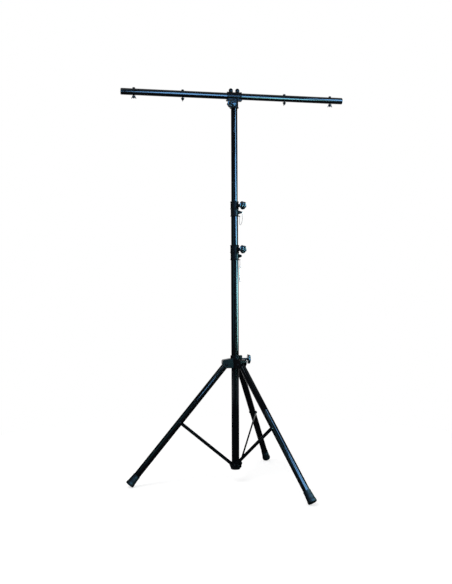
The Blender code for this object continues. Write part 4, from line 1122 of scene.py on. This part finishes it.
def make_bracket():
    half = half_width("bar_bracket", 0)
    sleeve_half = BRACKET_LENGTH / 2
    outer = BAR_R + GAP + BRACKET_WALL
    rim = outer + BRACKET_RIM
    width = BRACKET_RIM_WIDTH
    profile = [(0, -sleeve_half), (rim, -sleeve_half), (rim, -sleeve_half + width), (outer, -sleeve_half + 1.4 * width),
               (outer, sleeve_half - 1.4 * width), (rim, sleeve_half - width), (rim, sleeve_half), (0, sleeve_half)]
    body = moved(lathe(eased(profile, 0.0008)), along_x())
    thick = SADDLE_BOTTOM - SADDLE_TOP
    saddle = prism([(-half, -SADDLE_TOP), (-half, -SADDLE_TOP - thick / 2), (-half + thick / 2, -SADDLE_BOTTOM),
                    (half - thick / 2, -SADDLE_BOTTOM), (half, -SADDLE_TOP - thick / 2), (half, -SADDLE_TOP),
                    (half - 1.2 * thick, -SADDLE_TOP + 0.9 * thick), (-half + 1.2 * thick, -SADDLE_TOP + 0.9 * thick)],
                   -SADDLE_WIDTH / 2, SADDLE_WIDTH / 2)
    socket_r = TOP_R + GAP + SOCKET_WALL
    edge = socket_r + SOCKET_RIM
    low = -SOCKET_DEPTH
    socket = lathe([(0, low), (edge - 0.001, low), (edge, low + 0.001), (edge, low + SOCKET_RIM_HEIGHT - 0.001),
                    (socket_r, low + SOCKET_RIM_HEIGHT + 0.001), (socket_r, -SADDLE_TOP), (0, -SADDLE_TOP)])
    bosses = [moved(rod(CAP_SCREW_BOSS_R, -SADDLE_TOP, CAP_SCREW_BOSS_TOP), upright((x, 0, 0)))
              for x in CAP_SCREW_X.values()]
    knob_line = upright((0, 0, -BRACKET_KNOB_BELOW), BRACKET_KNOB_AZIMUTH) @ along_x()
    knob_boss = moved(rod(KNOB_BOSS_R, TOP_R + SOCKET_WALL / 2, BRACKET_BOSS_REACH), knob_line)
    fused(body, saddle, socket, *bosses, knob_boss)
    cast(body, 0.0008)
    bar_bore = moved(rod(BAR_R + GAP, -BORE_CUT, BORE_CUT, ROUND_SIDES), along_x())
    tube_bore = rod(TOP_R + GAP, -2 * BORE_CUT, -SOCKET_ROOF, ROUND_SIDES)
    screws = [moved(rod(CAP_SCREW_R + GAP, -SADDLE_TOP - 0.0008, BORE_CUT), upright((x, 0, 0)))
              for x in CAP_SCREW_X.values()]
    clamp_hole = moved(rod(SCREW_R + GAP, 0, HOLE_CUT), knob_line)
    cut(body, bar_bore, tube_bore, *screws, clamp_hole)
    show(body, "bar_bracket", up(BAR_Z), smooth=30)

    for side, x in CAP_SCREW_X.items():
        low, high = span("cap_screw_" + side, 2)
        head_r = half_width("cap_screw_" + side, 0)
        seat = BAR_Z + CAP_SCREW_BOSS_TOP + GAP
        tall = high - seat
        outline = [(0, low - seat), (CAP_SCREW_R, low - seat), (CAP_SCREW_R, 0), (head_r - 0.0006, 0), (head_r, 0.0008)]
        screw = lathe(outline + arc(0, tall - head_r, head_r, 0, 80, 8) + [(0, tall)])
        cut(screw, rod(0.32 * head_r, tall - 0.0035, tall + OVERRUN, 6))
        show(screw, "cap_screw_" + side, upright((x, 0, seat)))
    make_clamp("bracket", COLLAR_KNOB, BRACKET_KNOB_AZIMUTH, BAR_Z - BRACKET_KNOB_BELOW, TOP_R + GAP,
               BRACKET_BOSS_REACH, BRACKET_KNOB_BACK)


def make_hangers():
    """Bolts down through the bar, each with a washer and a wing nut."""
    seat = BAR_R + GAP
    for name in HANGERS:
        x = middle(name + "_bolt", 0)
        low, high = span(name + "_bolt", 2)
        corner = HANGER_HEAD_FLATS / sqrt(3)
        tall = high - BAR_Z - seat
        chamfer = lathe([(0, seat), (corner, seat), (corner, seat + 0.55 * tall), (0.82 * corner, seat + tall),
                         (0, seat + tall)], NUT_SIDES)
        head = carved(rod(corner, seat, seat + tall, 6), "INTERSECT", chamfer)
        shank = rod(HANGER_R, HANGER_THREAD_TOP, seat + 0.001)
        thread = threaded(HANGER_R, low - BAR_Z, HANGER_THREAD_TOP)
        show(joined(bevelled(head, 0.0003, 2, 40), shank, thread), name + "_bolt", upright((x, 0, BAR_Z)))

        low, high = span(name + "_washer", 2)
        rim = half_width(name + "_washer", 0)
        show(round_tube(rim, rim - HANGER_R - GAP, low, high, NUT_SIDES), name + "_washer", upright((x, 0, 0)))

        turn = 0 if name.startswith("outer") else QUARTER
        top = span(name + "_wing_nut", 2)[1]
        show(wing_nut(), name + "_wing_nut", upright((x, 0, top), turn))


def wing_nut():
    span_half = WING_SPAN / 2
    nut = lathe([(0, 0), (WING_NUT_TOP_R, 0), (WING_NUT_TOP_R, -0.0015), (WING_NUT_BASE_R, -WING_NUT_HEIGHT),
                 (0, -WING_NUT_HEIGHT)], NUT_SIDES)
    wing = [(HANGER_R - 0.001, -0.0010), (WING_NUT_TOP_R, -0.0006), (span_half - 0.0015, -0.0076),
            (span_half, -0.0115), (span_half - 0.0010, -WING_DROP), (span_half - 0.0035, -WING_DROP + 0.0006),
            (WING_NUT_BASE_R + 0.0012, -0.0078), (HANGER_R - 0.001, -0.0074)]
    half = WING_THICK / 2
    wings = [moved(prism(eased(wing, 0.0012, closed=True), -half, half), upright(azimuth=turn))
             for turn in (0, pi)]
    fused(nut, *wings)
    cast(nut, 0.00042, 4)
    return cut(nut, rod(HANGER_R + GAP, -0.02, OVERRUN))


# ---- Studio


def seen(net):
    """1 where the background shows: to the camera, in gloss and through glass."""
    rays = net.add("ShaderNodeLightPath", output="Is Camera Ray")
    rest = rays.beside("Is Glossy Ray") + rays.beside("Is Transmission Ray")
    return net.add("ShaderNodeMath", {"operation": "MINIMUM"}, {0: rays + rest, 1: 1.0})


def make_world():
    """White where it is seen, and a dim light from all round."""
    world = bpy.data.worlds.new("studio")
    world.use_nodes = True
    bpy.context.scene.world = world
    net = Net(world.node_tree)
    room = net.tree.nodes["Background"]
    room.inputs["Color"].default_value = WHITE
    room.inputs["Strength"].default_value = ROOM_LIGHT
    white = net.add("ShaderNodeBackground", None, {"Color": WHITE, "Strength": 1.0})
    mixed = net.add("ShaderNodeMixShader", None, {0: seen(net), 1: Value(net, room.outputs[0]), 2: white})
    net.feed(net.tree.nodes["World Output"].inputs["Surface"], mixed)


def make_floor():
    """A white floor that keeps the stand's shadow."""
    floor = lathe([(0, FLOOR_Z), (FLOOR_R, FLOOR_Z)], FLOOR_SIDES)
    floor.name = floor.data.name = "studio_floor"
    net = Finish("floor_white")
    net.tree.nodes.remove(net.shader)
    lit = net.add("ShaderNodeBsdfDiffuse", None, {"Color": FLOOR_LIT})
    glow = net.add("ShaderNodeEmission", None, {"Color": WHITE, "Strength": FLOOR_GLOW})
    white = net.add("ShaderNodeAddShader", None, {0: lit, 1: glow})
    plain = net.add("ShaderNodeBsdfDiffuse", None, {"Color": FLOOR_PLAIN})
    mixed = net.add("ShaderNodeMixShader", None, {0: seen(net), 1: plain, 2: white})
    net.feed(net.tree.nodes["Material Output"].inputs["Surface"], mixed)
    floor.data.materials.append(net.material)


def lamp(name, azimuth, distance, height, aim, size, radiance, colour, roll=0.0, gloss_only=True):
    """A soft rectangular lamp that faces the mast's axis at height aim. Its azimuth is counted from the camera."""
    light = bpy.data.lights.new(name, "AREA")
    light.shape = "RECTANGLE"
    light.size, light.size_y = size
    light.energy = radiance * pi * size[0] * size[1]
    light.color = colour
    stand = in_scene(name, light)
    stand.location = around(distance, CAMERA_BEARING + radians(azimuth), height)
    outward = (stand.location - Vector((0, 0, aim))).to_track_quat("Z", "Y").to_matrix()
    stand.rotation_euler = (outward @ Matrix.Rotation(radians(roll), 3, "Z")).to_euler()
    stand.visible_diffuse = not gloss_only


def make_lamps():
    """One high key lamp, and coloured strips that only the gloss shows."""
    lamp("key_lamp", -35, 3.2, 4.75, 1.0, (2.2, 2.2), KEY, (1, 1, 1), gloss_only=False)
    lamp("mast_strip_high", 53, 3.0, 2.65, 2.65, (1.0, 1.5), MAST_STRIP, (0.30, 0.52, 0.80), 15)
    lamp("mast_strip_middle", 70, 3.0, 1.60, 1.60, (1.0, 1.0), MAST_STRIP, (0.46, 0.82, 0.88), 30)
    lamp("mast_strip_low", 86, 3.0, 1.08, 1.08, (0.9, 0.9), MAST_STRIP, (0.50, 0.86, 0.74), 10)
    lamp("left_strip", -41, 3.0, 1.5, 1.5, (1.0, 1.6), LEFT_STRIP, (0.40, 0.95, 1.0))
    lamp("bar_strip_near", 12.4, 3.0, 1.95, 1.95, (1.9, 1.9), BAR_STRIP, (0.36, 0.62, 1.0), -22)
    lamp("bar_strip_far", 34.5, 3.3, 0.75, 0.75, (0.9, 1.7), BAR_STRIP, (0.50, 1.0, 0.85), -30)
    lamp("leg_strip", 45, 1.26, 1.80, 0.6, (0.40, 0.75), LEG_STRIP, (0.30, 0.60, 1.0))


def make_flags():
    """Black flags that only the gloss shows: a wall, open behind the stand, a card before the mast, one on the floor.

    An edge is a height, and its ends in degrees from the camera.
    """
    wall = (WALL_R, 24, [(height, -150, 150) for height in (0.0, WALL_TOP)])
    card = (MAST_CARD_R, 6, [(0.0, -25, 50), (MAST_CARD_STEP[0], -25, 50), (MAST_CARD_STEP[1], -25, 31),
                             (MAST_CARD_TOP, -25, 31)])
    bm = bmesh.new()
    for radius, steps, edges in (wall, card):
        rows = [[bm.verts.new(around(radius, CAMERA_BEARING + radians(left + (right - left) * k / steps), height))
                 for k in range(steps + 1)] for height, left, right in edges]
        for low, high in zip(rows, rows[1:]):
            for k in range(steps):
                bm.faces.new((low[k], low[k + 1], high[k + 1], high[k]))
    bm.faces.new([bm.verts.new(around(FLOOR_R, tau * k / NUT_SIDES, FLOOR_CARD_Z)) for k in range(NUT_SIDES)])
    flag = loose(bm)
    flag.name = flag.data.name = "studio_flag"
    cloth = Finish("flag_black", Base_Color=(0.01, 0.01, 0.01, 1.0), Roughness=0.9, Specular_IOR_Level=0.0)
    flag.data.materials.append(cloth.material)
    flag.visible_camera = flag.visible_diffuse = flag.visible_shadow = flag.visible_transmission = False


def make_camera():
    camera = in_scene("camera", bpy.data.cameras.new("camera"))
    camera.data.lens = CAMERA_LENS
    camera.data.sensor_width = CAMERA_SENSOR
    camera.location = CAMERA_AT
    turn = Matrix.Rotation(CAMERA_PAN, 4, "Z") @ Matrix.Rotation(QUARTER + CAMERA_TILT, 4, "X")
    camera.rotation_euler = (turn @ Matrix.Rotation(CAMERA_ROLL, 4, "Z")).to_euler()
    bpy.context.scene.camera = camera


bpy.context.scene.view_settings.view_transform = "Standard"
make_camera()
upper_pin_line = make_collar("upper_collar", MID_R, TOP_R, span("middle_tube", 2)[1])
lower_pin_line = make_collar("lower_collar", OUTER_R, MID_R, span("outer_tube", 2)[1])
make_pins_and_lanyards(upper_pin_line, lower_pin_line)
make_mast_tubes()
make_hub()
for leg_side in SIDES:
    make_leg(leg_side)
    make_brace(leg_side)
make_lower_hub()
make_bar()
make_bracket()
make_hangers()
make_world()
make_floor()
make_lamps()
make_flags()
